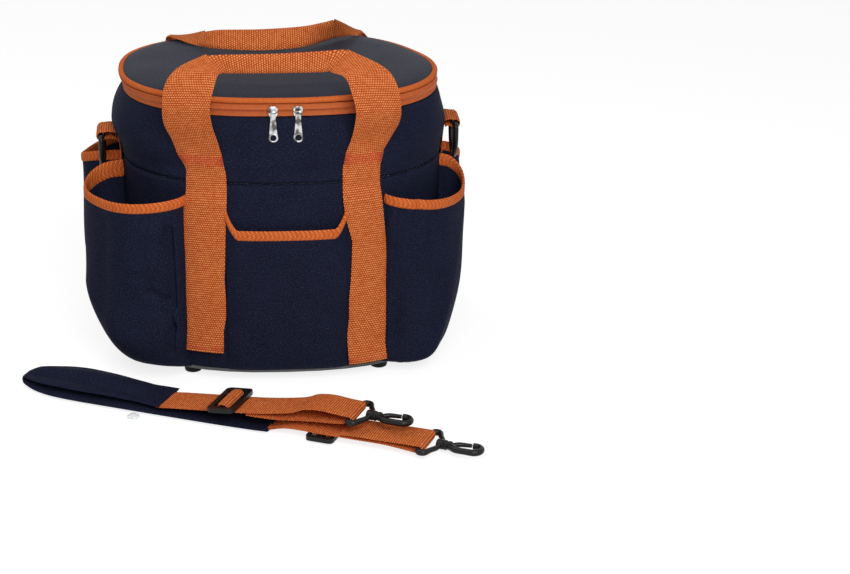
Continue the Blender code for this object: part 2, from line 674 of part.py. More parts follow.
def make_pocket(name, angles, rims, spread, belly_out, rim_out, fabric, orange):
    """A pocket panel and its binding; rims and spread are given for each angle."""
    panel = []
    binding = []
    for angle, rim, share in zip(angles, rims, spread):
        panel_top = rim - BINDING_HEIGHT - GAP
        heights = [POCKET_FOOT + (panel_top - POCKET_FOOT) * level for level in POCKET_LEVELS]
        outs = [PANEL_GAP + share * belly(z - POCKET_FOOT, belly_out, rim_out, rim) for z in heights]
        inner = [wall_point(angle, z, out) for z, out in zip(heights, outs)]
        outer = [wall_point(angle, z, out + FABRIC) for z, out in zip(heights, outs)]
        panel.append(inner + outer[::-1])
        edge = outs[-1] + FABRIC / 2 - BINDING / 2
        near = max(edge, PANEL_GAP)
        low = panel_top + GAP
        binding.append([wall_point(angle, low, near), wall_point(angle, rim, near),
                        wall_point(angle, rim, near + BINDING), wall_point(angle, low, near + BINDING)])
    loft(f"{name}_pocket", panel, fabric)
    loft(f"{name}_binding", binding, orange)


def corner_pocket(name, side, front, belly_out, rim_out, raise_by, fabric, orange):
    strap_edge_x = STRAP_X + WEBBING_WIDTH / 2 + PANEL_GAP
    start = angle_at_x(side * strap_edge_x, front)
    end = angle_at_side((-1 if front else 1) * SIDE_STRAP_EDGE, side)
    if front and side < 0:
        end -= 2 * math.pi
    shares = [i / CORNER_POCKET_STEPS for i in range(CORNER_POCKET_STEPS + 1)]
    angles = [start + (end - start) * u for u in shares]
    spread = [math.sqrt(max(math.sin(math.pi * u), 0.0)) for u in shares]
    rims = []
    for u in shares:
        fall = math.sin(min(u / CORNER_RIM_CLIMB_SHARE, 1) * math.pi / 2)
        climb = max(u - CORNER_RIM_CLIMB_SHARE, 0) / (1 - CORNER_RIM_CLIMB_SHARE)
        rim = CORNER_RIM_AT_STRAP + (CORNER_RIM_DIP - CORNER_RIM_AT_STRAP) * fall
        rims.append(rim + (CORNER_RIM_AT_RING - CORNER_RIM_DIP) * climb * climb + raise_by)
    make_pocket(name, angles, rims, spread, belly_out, rim_out, fabric, orange)


def centre_pocket(name, front, height, ends, fabric, orange):
    half = STRAP_X - WEBBING_WIDTH / 2 - PANEL_GAP
    places = [-half, -half + 0.009, -half + 0.014, -0.020, 0.020, half - 0.014, half - 0.009, half]
    angles = [angle_at_x(x, front) for x in places]
    rims = [ends, height + 0.002, height, height, height, height, height + 0.002, ends]
    spread = [0.0, 0.75, 0.85, 1.0, 1.0, 0.85, 0.75, 0.0]
    make_pocket(name, angles, rims, spread, CENTRE_POCKET_BELLY, CENTRE_POCKET_RIM, fabric, orange)


def make_pockets(fabric, orange):
    front_ends = FRONT_POCKET_HEIGHT + FRONT_POCKET_ENDS_RISE
    centre_pocket("front_centre", True, FRONT_POCKET_HEIGHT, front_ends, fabric, orange)
    centre_pocket("back_centre", False, BACK_POCKET_HEIGHT, BACK_POCKET_HEIGHT, fabric, orange)
    for front, word, raise_by in ((True, "front", 0.0), (False, "back", BACK_CORNER_RAISE)):
        corner_pocket(f"{word}_left", -1, front, LEFT_POCKET_BELLY, LEFT_POCKET_RIM, raise_by, fabric, orange)
        corner_pocket(f"{word}_right", 1, front, RIGHT_POCKET_BELLY, RIGHT_POCKET_RIM, raise_by, fabric, orange)


# Shoulder strap, in its own frame on the floor

def strap_frame():
    frame = bpy.data.objects.new("shoulder_strap_frame", None)
    add(frame, location=(*STRAP_FOLD, FLOOR))
    frame.rotation_euler = (0.0, 0.0, STRAP_TURN)
    return frame


def flat_ribbon(name, route, width, thickness, material, frame, pivot=(0.0, 0.0, 0.0)):
    sections = [[(p[0], across, p[1]) for p, across in section] for section in ribbon(route, width, thickness)]
    return loft(name, sections, material, pivot=pivot, parent=frame)


def make_pad(frame, fabric, clear):
    turn = (PAD_HIGH - PAD_LOW) / 2
    middle = (PAD_HIGH + PAD_LOW) / 2
    route = [(PAD_LOWER_END, PAD_LOW), (0.200, PAD_LOW), (0.120, PAD_LOW), (0.060, PAD_LOW)]
    shifts = [LOWER_SHIFT] * len(route)
    bend = wrap((PAD_FOLD, middle), turn, -math.pi / 2, -3 * math.pi / 2, 6)
    route += bend
    shifts += [LOWER_SHIFT * (1 - i / (len(bend) - 1)) for i in range(len(bend))]
    route += [(0.060, PAD_HIGH), (0.110, PAD_HIGH), (PAD_UPPER_END, PAD_HIGH + PAD_END_RISE)]
    shifts += [0.0, LOWER_SHIFT / 2, LOWER_SHIFT]
    sections = []
    for i, point in enumerate(route):
        before = route[max(i - 1, 0)]
        after = route[min(i + 1, len(route) - 1)]
        run = Vector((after[0] - before[0], after[1] - before[1])).normalized()
        normal = Vector((-run.y, run.x))
        half = (PAD_END_WIDTH if i in (0, len(route) - 1) else PAD_WIDTH) / 2
        section = []
        for across, lift in ((-1.0, PAD_EDGE), (-0.7, PAD_THICKNESS), (0.7, PAD_THICKNESS), (1.0, PAD_EDGE)):
            place = shifts[i] + across * half
            section.append((point[0] + normal.x * lift / 2, place, point[1] + normal.y * lift / 2))
        for across, lift in ((1.0, PAD_EDGE), (0.7, PAD_THICKNESS), (-0.7, PAD_THICKNESS), (-1.0, PAD_EDGE)):
            place = shifts[i] + across * half
            section.append((point[0] - normal.x * lift / 2, place, point[1] - normal.y * lift / 2))
        sections.append(section)
    loft("shoulder_pad", sections, fabric, parent=frame, sharp=60.0)

    across = LOWER_SHIFT - PAD_WIDTH / 2 - PANEL_GAP - STUD_RADIUS
    loft("pad_stud", [disc(STUD_RADIUS, 0.0, STUD_ALONG, across),
                      disc(STUD_RADIUS, STUD_HEIGHT * 0.6, STUD_ALONG, across),
                      disc(STUD_RADIUS * 0.6, STUD_HEIGHT, STUD_ALONG, across)], clear, parent=frame)


def upper_web_height(along):
    """Height of the upper strap's middle where the adjuster runs on it."""
    share = (along - UPPER_WEB_START[0]) / (UPPER_WEB_END[0] - UPPER_WEB_START[0])
    return UPPER_WEB_START[1] + (UPPER_WEB_END[1] - UPPER_WEB_START[1]) * share


def lower_web_height():
    """Height of the lower strap's middle, just over the adjuster under it."""
    return WEBBING + 2 * GAP + FLOOR_CLEARANCE + ADJUSTER + GAP + WEBBING / 2


def make_webs(frame, webbing):
    lie = WEBBING / 2
    round_bar = HOOK_BAR_RADIUS + GAP + lie
    upper = [(PAD_UPPER_END + GAP, PAD_HIGH + PAD_END_RISE), UPPER_WEB_START, UPPER_WEB_END, *UPPER_WEB_TOP]
    upper += wrap(UPPER_HOOK, round_bar, math.radians(80), math.radians(-90), 6)
    upper += [*UPPER_WEB_RETURN, (UPPER_WEB_TIP, upper_web_height(UPPER_WEB_TIP) - WEBBING - GAP)]
    upper = [(s, h, float(np.interp(s, UPPER_SHIFT_EASE, (UPPER_SHIFT, 0.0)))) for s, h in upper]
    flat_ribbon("shoulder_web_upper", upper, WEBBING_WIDTH, WEBBING, webbing, frame)

    level = lower_web_height()
    lower = [(PAD_LOWER_END + GAP, PAD_LOW), *[(run, level) for run in LOWER_WEB_RUN]]
    lower += wrap(LOWER_HOOK, round_bar, math.radians(-100), math.radians(90), 6)
    lower += [*LOWER_WEB_RETURN, (LOWER_WEB_TIP, level + WEBBING + GAP)]
    lower = [(s, h, LOWER_SHIFT) for s, h in lower]
    flat_ribbon("shoulder_web_lower", lower, WEBBING_WIDTH, WEBBING, webbing, frame)


def make_adjuster(word, place, tilt, up, frame, plastic, webbing):
    """A three-bar slide over (up = 1) or under (-1) its strap, and the fold of webbing on its middle bar."""
    holder = bpy.data.objects.new(f"adjuster_{word}_frame", None)
    add(holder, frame, place)
    holder.rotation_euler = (0.0, -tilt, 0.0)
    low = WEBBING / 2 + GAP
    high = low + ADJUSTER
    length = 3 * ADJUSTER_BAR + 2 * ADJUSTER_SLOT
    half = ADJUSTER_WIDTH / 2
    faces = sorted((up * low, up * high))
    plate = loft(f"adjuster_{word}", box((-length / 2, length / 2), (-half, half), faces), plastic, parent=holder)
    bevel = plate.modifiers.new("edges", "BEVEL")
    bevel.width = ADJUSTER_BEVEL
    bevel.segments = 1
    slot_middle = (ADJUSTER_BAR + ADJUSTER_SLOT) / 2
    cut = sorted((up * (low - 0.001), up * (high + 0.001)))
    for i, side in enumerate((-1, 1)):
        span = (side * slot_middle - ADJUSTER_SLOT / 2, side * slot_middle + ADJUSTER_SLOT / 2)
        slot = loft(f"adjuster_{word}_slot_{i}", box(span, (-half + ADJUSTER_SIDE, half - ADJUSTER_SIDE), cut),
                    plastic, parent=holder)
        combine(plate, slot, "DIFFERENCE")
    over = high + GAP + WEBBING / 2
    leg = slot_middle - 0.0002
    route = [(-leg, low), (-leg, high - FOLD_CORNER / 2), (-leg + FOLD_CORNER, over - FOLD_CORNER / 4),
             (-FOLD_CORNER, over), (FOLD_CORNER, over), (leg - FOLD_CORNER, over - FOLD_CORNER / 4),
             (leg, high - FOLD_CORNER / 2), (leg, low)]
    route = [(run, up * rise) for run, rise in route]
    flat_ribbon(f"adjuster_{word}_fold", route, WEBBING_WIDTH, WEBBING, webbing, holder)


def axis_disc(radius, along, steps=10):
    """A disc across the hook's long axis."""
    return [(along, radius * math.cos(2 * math.pi * i / steps), radius * math.sin(2 * math.pi * i / steps))
            for i in range(steps)]


def flat_tube(route, radius, closed, corners=6):
    """Sections of a round rod that follows (along, across) points at the hook's height."""
    count = len(route)
    sections = []
    for i, (x, y) in enumerate(route):
        before = Vector(route[i - 1]) if closed or i else Vector(route[0])
        after = Vector(route[(i + 1) % count]) if closed or i < count - 1 else Vector(route[-1])
        here = Vector((x, y))
        into = (here - before).normalized() if (here - before).length > 0 else (after - here).normalized()
        out = (after - here).normalized() if (after - here).length > 0 else into
        run = (into + out).normalized()
        normal = Vector((-run.y, run.x)) / max(run.dot(into), 0.5)
        section = []
        for corner in range(corners):
            turn = (corner + 0.5) * 2 * math.pi / corners
            step = radius * math.cos(turn)
            section.append((x + normal.x * step, y + normal.y * step, radius * math.sin(turn)))
        sections.append(section)
    return sections


def make_hook(word, place, shift, frame, plastic):
    """A swivel snap hook: a loop for the webbing, a turning hook and its sprung gate."""
    holder = bpy.data.objects.new(f"hook_{word}_frame", None)
    add(holder, frame, (place[0], shift, place[1]))

    spread = HOOK_BAR_SPREAD
    loop_route = [(0.0, -spread), (0.0, spread), (HOOK_LEG, spread), (HOOK_CROSS, HOOK_CROSS_HALF),
                  (HOOK_CROSS, -HOOK_CROSS_HALF), (HOOK_LEG, -spread)]
    loop = loft(f"hook_loop_{word}", flat_tube(loop_route, HOOK_BAR_RADIUS, True, 8), plastic, ring=True,
                parent=holder, sharp=60.0)
    boss = loft(f"hook_loop_{word}_boss", [axis_disc(BOSS_RADIUS, BOSS_START), axis_disc(BOSS_RADIUS, BOSS_END)],
                plastic, parent=holder)
    combine(loop, boss, "UNION")
    bore = SHANK_RADIUS + GAP
    drill = loft(f"hook_loop_{word}_bore", [axis_disc(bore, BOSS_START - 0.01), axis_disc(bore, BOSS_END + 0.01)],
                 plastic, parent=holder)
    combine(loop, drill, "DIFFERENCE")

    head = BOSS_START - GAP - SHANK_HEAD
    turned = [(SHANK_HEAD_RADIUS, head), (SHANK_HEAD_RADIUS, BOSS_START - GAP), (SHANK_RADIUS, BOSS_START - GAP),
              (SHANK_RADIUS, BOSS_END + GAP), (BOSS_RADIUS, BOSS_END + GAP), (BOSS_RADIUS, BOSS_END + COLLAR_RIM),
              (BOSS_RADIUS - COLLAR_TAPER, COLLAR_END)]
    hook = loft(f"hook_{word}", [axis_disc(r, s) for r, s in turned], plastic, parent=holder)
    bend = [(COLLAR_END - 0.004, 0.0), (COLLAR_END, -0.0025)]
    bend += [(along, -HOOK_HALF_WIDTH) for along in HOOK_SHOULDER]
    bend += [(HOOK_EYE_END + HOOK_HALF_WIDTH * math.cos(a), HOOK_HALF_WIDTH * math.sin(a))
             for a in np.linspace(-math.pi / 2, math.pi / 2, 8)]
    bend.append((HOOK_EYE_END - HOOK_NOSE, HOOK_HALF_WIDTH))
    rod = loft(f"hook_{word}_bend", flat_tube(bend, HOOK_WIRE, False, 8), plastic, parent=holder)
    combine(hook, rod, "UNION")

    root = (COLLAR_END + GATE_GAP, GATE_ROOT_ACROSS)
    tip = (HOOK_EYE_END - HOOK_NOSE - GATE_TIP_CLEARANCE, HOOK_HALF_WIDTH)
    gate_route = [root, (root[0] + GATE_KNEE[0], root[1] + GATE_KNEE[1]), tip]
    gate = loft(f"hook_gate_{word}", flat_tube(gate_route, GATE_WIRE, False), plastic,
                pivot=(root[0], root[1], 0.0), parent=holder)
    return gate


def make_shoulder_strap(fabric, webbing, plastic, clear):
    frame = strap_frame()
    make_pad(frame, fabric, clear)
    make_webs(frame, webbing)
    tilt = math.atan2(UPPER_WEB_END[1] - UPPER_WEB_START[1], UPPER_WEB_END[0] - UPPER_WEB_START[0])
    upper_place = (UPPER_ADJUSTER_ALONG, UPPER_SHIFT, upper_web_height(UPPER_ADJUSTER_ALONG))
    make_adjuster("upper", upper_place, tilt, 1, frame, plastic, webbing)
    lower_place = (LOWER_ADJUSTER_ALONG, LOWER_SHIFT, lower_web_height())
    make_adjuster("lower", lower_place, 0.0, -1, frame, plastic, webbing)
    make_hook("upper", UPPER_HOOK, 0.0, frame, plastic)
    make_hook("lower", LOWER_HOOK, LOWER_SHIFT, frame, plastic)


def main():
    clear_scene()
    fabric = finish("navy polyester", (0.015, 0.018, 0.040), 0.62)
    lining = finish("grey lining", (0.080, 0.082, 0.090), 0.70)
    foam = finish("white foam", (0.70, 0.70, 0.68), 0.90)
    board = finish("plastic board", (0.10, 0.10, 0.10), 0.60)
    webbing = finish("orange webbing", (0.65, 0.17, 0.030), 0.70)
    orange = finish("orange binding", (0.62, 0.14, 0.025), 0.70)
    zip_tape = finish("orange zip", (0.60, 0.13, 0.030), 0.60)
    chrome = finish("chrome", (0.75, 0.75, 0.76), 0.20, 1.0)
    plastic = finish("black plastic", (0.010, 0.010, 0.010), 0.35)
    clear = finish("clear plastic", (0.45, 0.47, 0.47), 0.25)

    make_base(fabric, board, plastic)
    make_body(fabric, foam, lining)
    make_lid(fabric, foam, lining, orange, zip_tape)
    for side, hand in ((-1, "left"), (1, "right")):
        make_slider(side, hand, chrome)
        make_side_strap(side, hand, webbing, plastic)
    make_handles(webbing)
    make_pockets(fabric, orange)
    make_shoulder_strap(fabric, webbing, plastic, clear)


main()
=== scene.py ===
"""A grooming bag as it looks: navy cloth, orange webbing, a zipped lid and a loose shoulder strap.

Metres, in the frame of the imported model: +X to the viewer's right, -Y to the
front, +Z up, the origin under the middle of the base.
"""
import math

import bmesh
import bpy
import numpy as np
from mathutils import Matrix, Vector, noise


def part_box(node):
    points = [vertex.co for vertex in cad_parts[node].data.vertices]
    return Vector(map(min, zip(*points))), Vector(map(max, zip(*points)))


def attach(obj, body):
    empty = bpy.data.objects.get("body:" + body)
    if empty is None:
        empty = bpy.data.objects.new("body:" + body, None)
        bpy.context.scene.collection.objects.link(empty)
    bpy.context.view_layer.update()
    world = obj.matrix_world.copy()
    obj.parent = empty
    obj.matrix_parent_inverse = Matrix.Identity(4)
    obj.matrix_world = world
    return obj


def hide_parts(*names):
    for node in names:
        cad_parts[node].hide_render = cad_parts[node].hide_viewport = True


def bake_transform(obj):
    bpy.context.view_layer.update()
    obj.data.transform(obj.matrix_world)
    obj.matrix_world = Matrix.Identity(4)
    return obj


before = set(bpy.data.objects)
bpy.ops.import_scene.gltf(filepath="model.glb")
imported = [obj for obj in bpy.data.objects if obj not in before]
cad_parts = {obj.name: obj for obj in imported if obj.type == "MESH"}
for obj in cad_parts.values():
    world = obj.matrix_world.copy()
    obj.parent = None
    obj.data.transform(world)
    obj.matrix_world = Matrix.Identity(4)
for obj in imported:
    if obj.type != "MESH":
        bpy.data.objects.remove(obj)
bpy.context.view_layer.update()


# The view. The bag stands on a plain white floor and is seen from standing height, a little
# to the left of its middle, through a long lens.
CAMERA_PLACE = Vector((-0.0728, -2.2005, 0.9272))
CAMERA_TURN = 0.0973
CAMERA_DROP = 0.3809
CAMERA_ROLL = 0.0143
CAMERA_LENS = 100.8

scene = bpy.context.scene
scene.view_settings.view_transform = "Standard"
level = Vector((math.cos(CAMERA_TURN), -math.sin(CAMERA_TURN), 0.0))
ahead = Vector((math.sin(CAMERA_TURN), math.cos(CAMERA_TURN), 0.0)) * math.cos(CAMERA_DROP)
ahead.z = -math.sin(CAMERA_DROP)
overhead = level.cross(ahead)
camera_right = level * math.cos(CAMERA_ROLL) + overhead * math.sin(CAMERA_ROLL)
camera_up = overhead * math.cos(CAMERA_ROLL) - level * math.sin(CAMERA_ROLL)
camera = bpy.data.objects.new("view", bpy.data.cameras.new("view"))
camera.data.lens = CAMERA_LENS
turned_axes = Matrix((camera_right, camera_up, -ahead)).transposed().to_4x4()
camera.matrix_world = Matrix.Translation(CAMERA_PLACE) @ turned_axes
scene.collection.objects.link(camera)
scene.camera = camera


def node(tree, kind, inputs=None, **settings):
    """Adds a node; its inputs are values or the sockets that feed them."""
    made = tree.nodes.new(kind)
    for key, value in settings.items():
        setattr(made, key, value)
    for key, value in (inputs or {}).items():
        if isinstance(value, bpy.types.NodeSocket):
            tree.links.new(value, made.inputs[key])
        else:
            made.inputs[key].default_value = value
    return made


def calc(tree, operation, *values):
    """The output of a Math node."""
    return node(tree, "ShaderNodeMath", dict(enumerate(values)), operation=operation).outputs[0]


# Soft studio light: a large lamp over the camera, a smaller one from above, and a white room.
FRONT_LAMP = ((0.35, -2.0, 1.55), 1.5, 37.0)
TOP_LAMP = ((-0.8, 0.1, 1.8), 1.2, 7.0)
LAMP_AIM = Vector((0.0, 0.0, 0.12))
WHITE = (1.0, 1.0, 1.0, 1.0)
ROOM_LIGHT = 0.20
FLOOR_GLOW = 0.80
FLOOR_HALF = 6.0
FLOOR_CORNERS = ((-1, -1), (1, -1), (1, 1), (-1, 1))

for lamp_name, (lamp_place, lamp_size, lamp_power) in (("front_lamp", FRONT_LAMP), ("top_lamp", TOP_LAMP)):
    lamp = bpy.data.objects.new(lamp_name, bpy.data.lights.new(lamp_name, "AREA"))
    lamp.data.size = lamp_size
    lamp.data.energy = lamp_power
    lamp.location = lamp_place
    lamp.rotation_euler = (LAMP_AIM - Vector(lamp_place)).to_track_quat("-Z", "Y").to_euler()
    scene.collection.objects.link(lamp)


def seen_directly(tree):
    """1 for rays from the camera, or that mirror or pass to it."""
    light_path = node(tree, "ShaderNodeLightPath")
    seen = calc(tree, "MAXIMUM", light_path.outputs["Is Camera Ray"], light_path.outputs["Is Glossy Ray"])
    return calc(tree, "MAXIMUM", seen, light_path.outputs["Is Transmission Ray"])


world = bpy.data.worlds.new("white_room")
world.use_nodes = True
world.node_tree.nodes.clear()
room_fill = node(world.node_tree, "ShaderNodeBackground", {"Color": WHITE, "Strength": ROOM_LIGHT})
room_white = node(world.node_tree, "ShaderNodeBackground", {"Color": WHITE, "Strength": 1.0})
room_mix = node(world.node_tree, "ShaderNodeMixShader", {0: seen_directly(world.node_tree),
                                                        1: room_fill.outputs[0], 2: room_white.outputs[0]})
node(world.node_tree, "ShaderNodeOutputWorld", {"Surface": room_mix.outputs[0]})
scene.world = world

floor_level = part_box("foot_front_left")[0].z
floor_paint = bpy.data.materials.new("white_floor")
floor_paint.use_nodes = True
floor_tree = floor_paint.node_tree
floor_tree.nodes.clear()
floor_matt = node(floor_tree, "ShaderNodeBsdfDiffuse", {"Color": (0.8, 0.8, 0.8, 1.0)})
floor_shade = node(floor_tree, "ShaderNodeBsdfDiffuse", {"Color": (0.42, 0.42, 0.42, 1.0)})
floor_glow = node(floor_tree, "ShaderNodeEmission", {"Color": WHITE, "Strength": FLOOR_GLOW})
floor_seen = node(floor_tree, "ShaderNodeAddShader", {0: floor_shade.outputs[0], 1: floor_glow.outputs[0]})
floor_mix = node(floor_tree, "ShaderNodeMixShader", {0: seen_directly(floor_tree), 1: floor_matt.outputs[0],
                                                    2: floor_seen.outputs[0]})
node(floor_tree, "ShaderNodeOutputMaterial", {"Surface": floor_mix.outputs[0]})
floor_mesh = bpy.data.meshes.new("floor")
floor_mesh.from_pydata([(x * FLOOR_HALF, y * FLOOR_HALF, floor_level) for x, y in FLOOR_CORNERS],
                       [], [(0, 1, 2, 3)])
floor_mesh.materials.append(floor_paint)
floor = bpy.data.objects.new("floor", floor_mesh)
scene.collection.objects.link(floor)


# Body wall and upper band: two tubes of navy polyester cloth joined by a turned-in seam, over
# foam and a lining. The wall turns under at the base, and the band is fuller than the wall.
ROUNDNESS = 2.4
CLOTH = 0.0012
NAVY = (0.0172, 0.0205, 0.0465)
NAVY_GAP = (0.0045, 0.0050, 0.0120)
# Painted glints of the navy cloth.
NAVY_GLINT = (0.060, 0.070, 0.130)
CLOTH_PITCH = 0.0007
HEM_RADIUS = 0.0140
SEAM_ROLL = 0.0035
SEAM_DEPTH = 0.0022
WALL_RIPPLE = ((0.05, 0.05, 0.035), 0.0009)
BAND_RIPPLE = ((0.045, 0.045, 0.022), 0.0022)
# Where a fold of the band starts across the front, and how far its top leans over.
BAND_DENTS = ((-0.048, 0.006), (0.046, -0.006), (-0.020, 0.004), (0.022, -0.004))
DENT_LEVELS = (0.206, 0.250)
DENT_SIZE = (0.007, 0.0014)
WALL_COLUMNS = 420
FOAM_INSET = 0.0042
FOAM = 0.0025
FOAM_FLOOR = 0.0060
SLUMP_START = 0.205
SLUMP_RUN = 0.055
SLUMP_IN = (0.0065, 0.012, 0.004)
LEFT_BULGE = 0.0050
LEFT_OVERHANG = 0.0040
OVERHANG_START = 0.264
LINING = 0.0005
LINING_FLOOR = 0.0072


def new_group(name, inputs, outputs):
    """A shader group: its tree, its inputs' sockets inside, and its outputs' sockets inside."""
    tree = bpy.data.node_groups.new(name, "ShaderNodeTree")
    for label, kind, value in inputs:
        socket = tree.interface.new_socket(name=label, in_out="INPUT", socket_type=kind)
        socket.default_value = value
    for label, kind in outputs:
        tree.interface.new_socket(name=label, in_out="OUTPUT", socket_type=kind)
    return tree, node(tree, "NodeGroupInput").outputs, node(tree, "NodeGroupOutput").inputs


def mixed(tree, share, one, two):
    """A colour between two, by a share."""
    blend = node(tree, "ShaderNodeMix", {0: share}, data_type="RGBA")
    for socket, value in ((blend.inputs[6], one), (blend.inputs[7], two)):
        if isinstance(value, bpy.types.NodeSocket):
            tree.links.new(value, socket)
        else:
            socket.default_value = value
    return blend.outputs[2]


def plain_weave_group():
    """Plain woven cloth: a bump at each crossing of the threads, with slow random changes of tone and painted
    glints.
    """
    colour = "NodeSocketColor"
    tree, given, result = new_group("plain_weave", [
        ("Place", "NodeSocketVector", (0.0, 0.0, 0.0)), ("Pitch", "NodeSocketFloat", 0.0007),
        ("Thread", colour, (0.5, 0.5, 0.5, 1.0)), ("Gap", colour, (0.1, 0.1, 0.1, 1.0)),
        ("Glint", colour, (0.8, 0.8, 0.8, 1.0)), ("Roughness", "NodeSocketFloat", 0.6)],
        [("Color", colour), ("Roughness", "NodeSocketFloat"), ("Height", "NodeSocketFloat")])
    place = node(tree, "ShaderNodeSeparateXYZ", {0: given["Place"]})
    waves = []
    for axis in ("X", "Y"):
        turns = calc(tree, "DIVIDE", place.outputs[axis], given["Pitch"])
        waves.append(calc(tree, "ABSOLUTE", calc(tree, "SINE", calc(tree, "MULTIPLY", turns, math.pi))))
    height = calc(tree, "MULTIPLY", *waves)
    threads = mixed(tree, calc(tree, "POWER", height, 0.5), given["Gap"], given["Thread"])
    slow = node(tree, "ShaderNodeTexNoise", {"Vector": given["Place"], "Scale": 38.0, "Detail": 3.0})
    fine = node(tree, "ShaderNodeTexNoise", {"Vector": given["Place"], "Scale": 1100.0, "Detail": 1.0})
    # Painted glints: small specks of the Glint colour where the fine noise is high.
    glints = node(tree, "ShaderNodeMapRange", {0: fine.outputs["Fac"], 1: 0.56, 2: 0.80})
    cloudy = node(tree, "ShaderNodeMapRange", {0: slow.outputs["Fac"], 1: 0.3, 2: 0.7, 3: 0.0, 4: 0.30})
    shaded = mixed(tree, cloudy.outputs[0], threads, given["Gap"])
    tree.links.new(mixed(tree, glints.outputs[0], shaded, given["Glint"]), result["Color"])
    rough = calc(tree, "MULTIPLY_ADD", glints.outputs[0], -0.20, given["Roughness"])
    tree.links.new(rough, result["Roughness"])
    tree.links.new(height, result["Height"])
    return tree


plain_weave = plain_weave_group()


def new_material(name, specular=0.5, bump=0.4, depth=0.0002, **fixed):
    """A Principled material with a Bump node: its tree, shader, and bump."""
    material = bpy.data.materials.new(name)
    material.use_nodes = True
    tree = material.node_tree
    shader = tree.nodes["Principled BSDF"]
    shader.inputs["Specular IOR Level"].default_value = specular
    for key, value in fixed.items():
        shader.inputs[key.replace("_", " ").title()].default_value = value
    relief = node(tree, "ShaderNodeBump", {"Strength": bump, "Distance": depth})
    tree.links.new(relief.outputs[0], shader.inputs["Normal"])
    return material, tree, shader, relief


def group_material(name, group, values, coordinates="UV", **settings):
    """A material whose colour, roughness and bump come from a group."""
    material, tree, shader, relief = new_material(name, **settings)
    place = node(tree, "ShaderNodeTexCoord").outputs[coordinates]
    made = node(tree, "ShaderNodeGroup", node_tree=group)
    tree.links.new(place, made.inputs["Place"])
    for key, value in values.items():
        made.inputs[key].default_value = (*value, 1.0) if isinstance(value, tuple) else value
    tree.links.new(made.outputs["Color"], shader.inputs["Base Color"])
    tree.links.new(made.outputs["Roughness"], shader.inputs["Roughness"])
    tree.links.new(made.outputs["Height"], relief.inputs["Height"])
    return material


def cloth_material(name, pitch, thread, gap, glint, roughness, **settings):
    """Plain woven cloth of one thread colour."""
    values = {"Pitch": pitch, "Thread": thread, "Gap": gap, "Glint": glint, "Roughness": roughness}
    return group_material(name, plain_weave, values, **settings)


navy_cloth = cloth_material("navy_cloth", CLOTH_PITCH, NAVY, NAVY_GAP, NAVY_GLINT, 0.66, specular=0.02)


def lengths(path):
    """How far along a path each of its points is."""
    steps = np.linalg.norm(np.diff(path, axis=0), axis=1)
    return np.concatenate([[0.0], np.cumsum(steps)])


def eased(share):
    """A share from 0 to 1 that starts and ends gently."""
    return share ** 2 * (3 - 2 * share)


def wrapped(points):
    """Rows of points that end where they start."""
    return np.concatenate([points, points[:, :1]], axis=1)


def thickened(piece, thickness, offset=-1.0):
    """Gives a sheet its thickness: inwards, or to both sides at offset 0."""
    solid = piece.modifiers.new("cloth", "SOLIDIFY")
    solid.thickness = thickness
    solid.offset = offset
    return piece


def skin(name, points, material, closed=False, u=None, v=None, thickness=0.0, smooth_angle=50.0):
    """A mesh over rows and columns of points, with a UV map in metres.

    Closed joins the last column to the first and caps both ends. A thickness
    grows an open sheet inwards.
    """
    rows, columns = points.shape[:2]
    if u is None:
        middle = points[rows // 2]
        u = lengths(np.vstack([middle, middle[:1]]) if closed else middle)
    if v is None:
        v = lengths(points[:, columns // 2])
    v = np.asarray(v)
    if v.ndim == 1:
        v = np.repeat(v[:, None], columns + 1, axis=1)
    faces = []
    corners = []
    for i in range(rows - 1):
        for j in range(columns if closed else columns - 1):
            k = (j + 1) % columns
            faces.append((i * columns + j, i * columns + k, (i + 1) * columns + k, (i + 1) * columns + j))
            corners += [(u[c], v[r, c]) for r, c in ((i, j), (i, j + 1), (i + 1, j + 1), (i + 1, j))]
    if closed:
        faces.append(tuple(range(columns))[::-1])
        corners += [(u[j], v[0, j]) for j in range(columns)][::-1]
        faces.append(tuple((rows - 1) * columns + j for j in range(columns)))
        corners += [(u[j], v[-1, j]) for j in range(columns)]
    mesh = bpy.data.meshes.new(name)
    mesh.from_pydata(points.reshape(-1, 3).tolist(), [], faces)
    mesh.uv_layers.new(name="weave").data.foreach_set("uv", np.array(corners, np.float32).ravel())
    mesh.shade_smooth()
    mesh.set_sharp_from_angle(angle=math.radians(smooth_angle))
    mesh.materials.append(material)
    piece = bpy.data.objects.new(name, mesh)
    scene.collection.objects.link(piece)
    return thickened(piece, thickness) if thickness else piece


def fit(piece, body, slot, *nodes):
    """Puts a finished piece on its body, in place of its plain solids."""
    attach(piece, body)
    if nodes:
        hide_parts(*nodes)
    return piece


def spline(points, step, closed=False):
    """Rows every step metres along a smooth curve; the first three columns are the place."""
    p = np.asarray(points, float)
    count = len(p)
    share = np.linspace(0.0, 1.0, 24, endpoint=False)[:, None]
    runs = []
    for i in range(count if closed else count - 1):
        a = p[i - 1] if closed or i else 2 * p[0] - p[1]
        b = p[i]
        c = p[(i + 1) % count]
        d = p[(i + 2) % count] if closed or i < count - 2 else 2 * p[-1] - p[-2]
        runs.append(0.5 * (2 * b + (c - a) * share + (2 * a - 5 * b + 4 * c - d) * share ** 2
                           + (3 * b - a - 3 * c + d) * share ** 3))
    runs.append(p[:1] if closed else p[-1:])
    dense = np.vstack(runs)
    along = lengths(dense[:, :3])
    places = np.linspace(0.0, along[-1], max(round(along[-1] / step), 2) + 1)
    if closed:
        places = places[:-1]
    return np.stack([np.interp(places, along, column) for column in dense.T], axis=1)


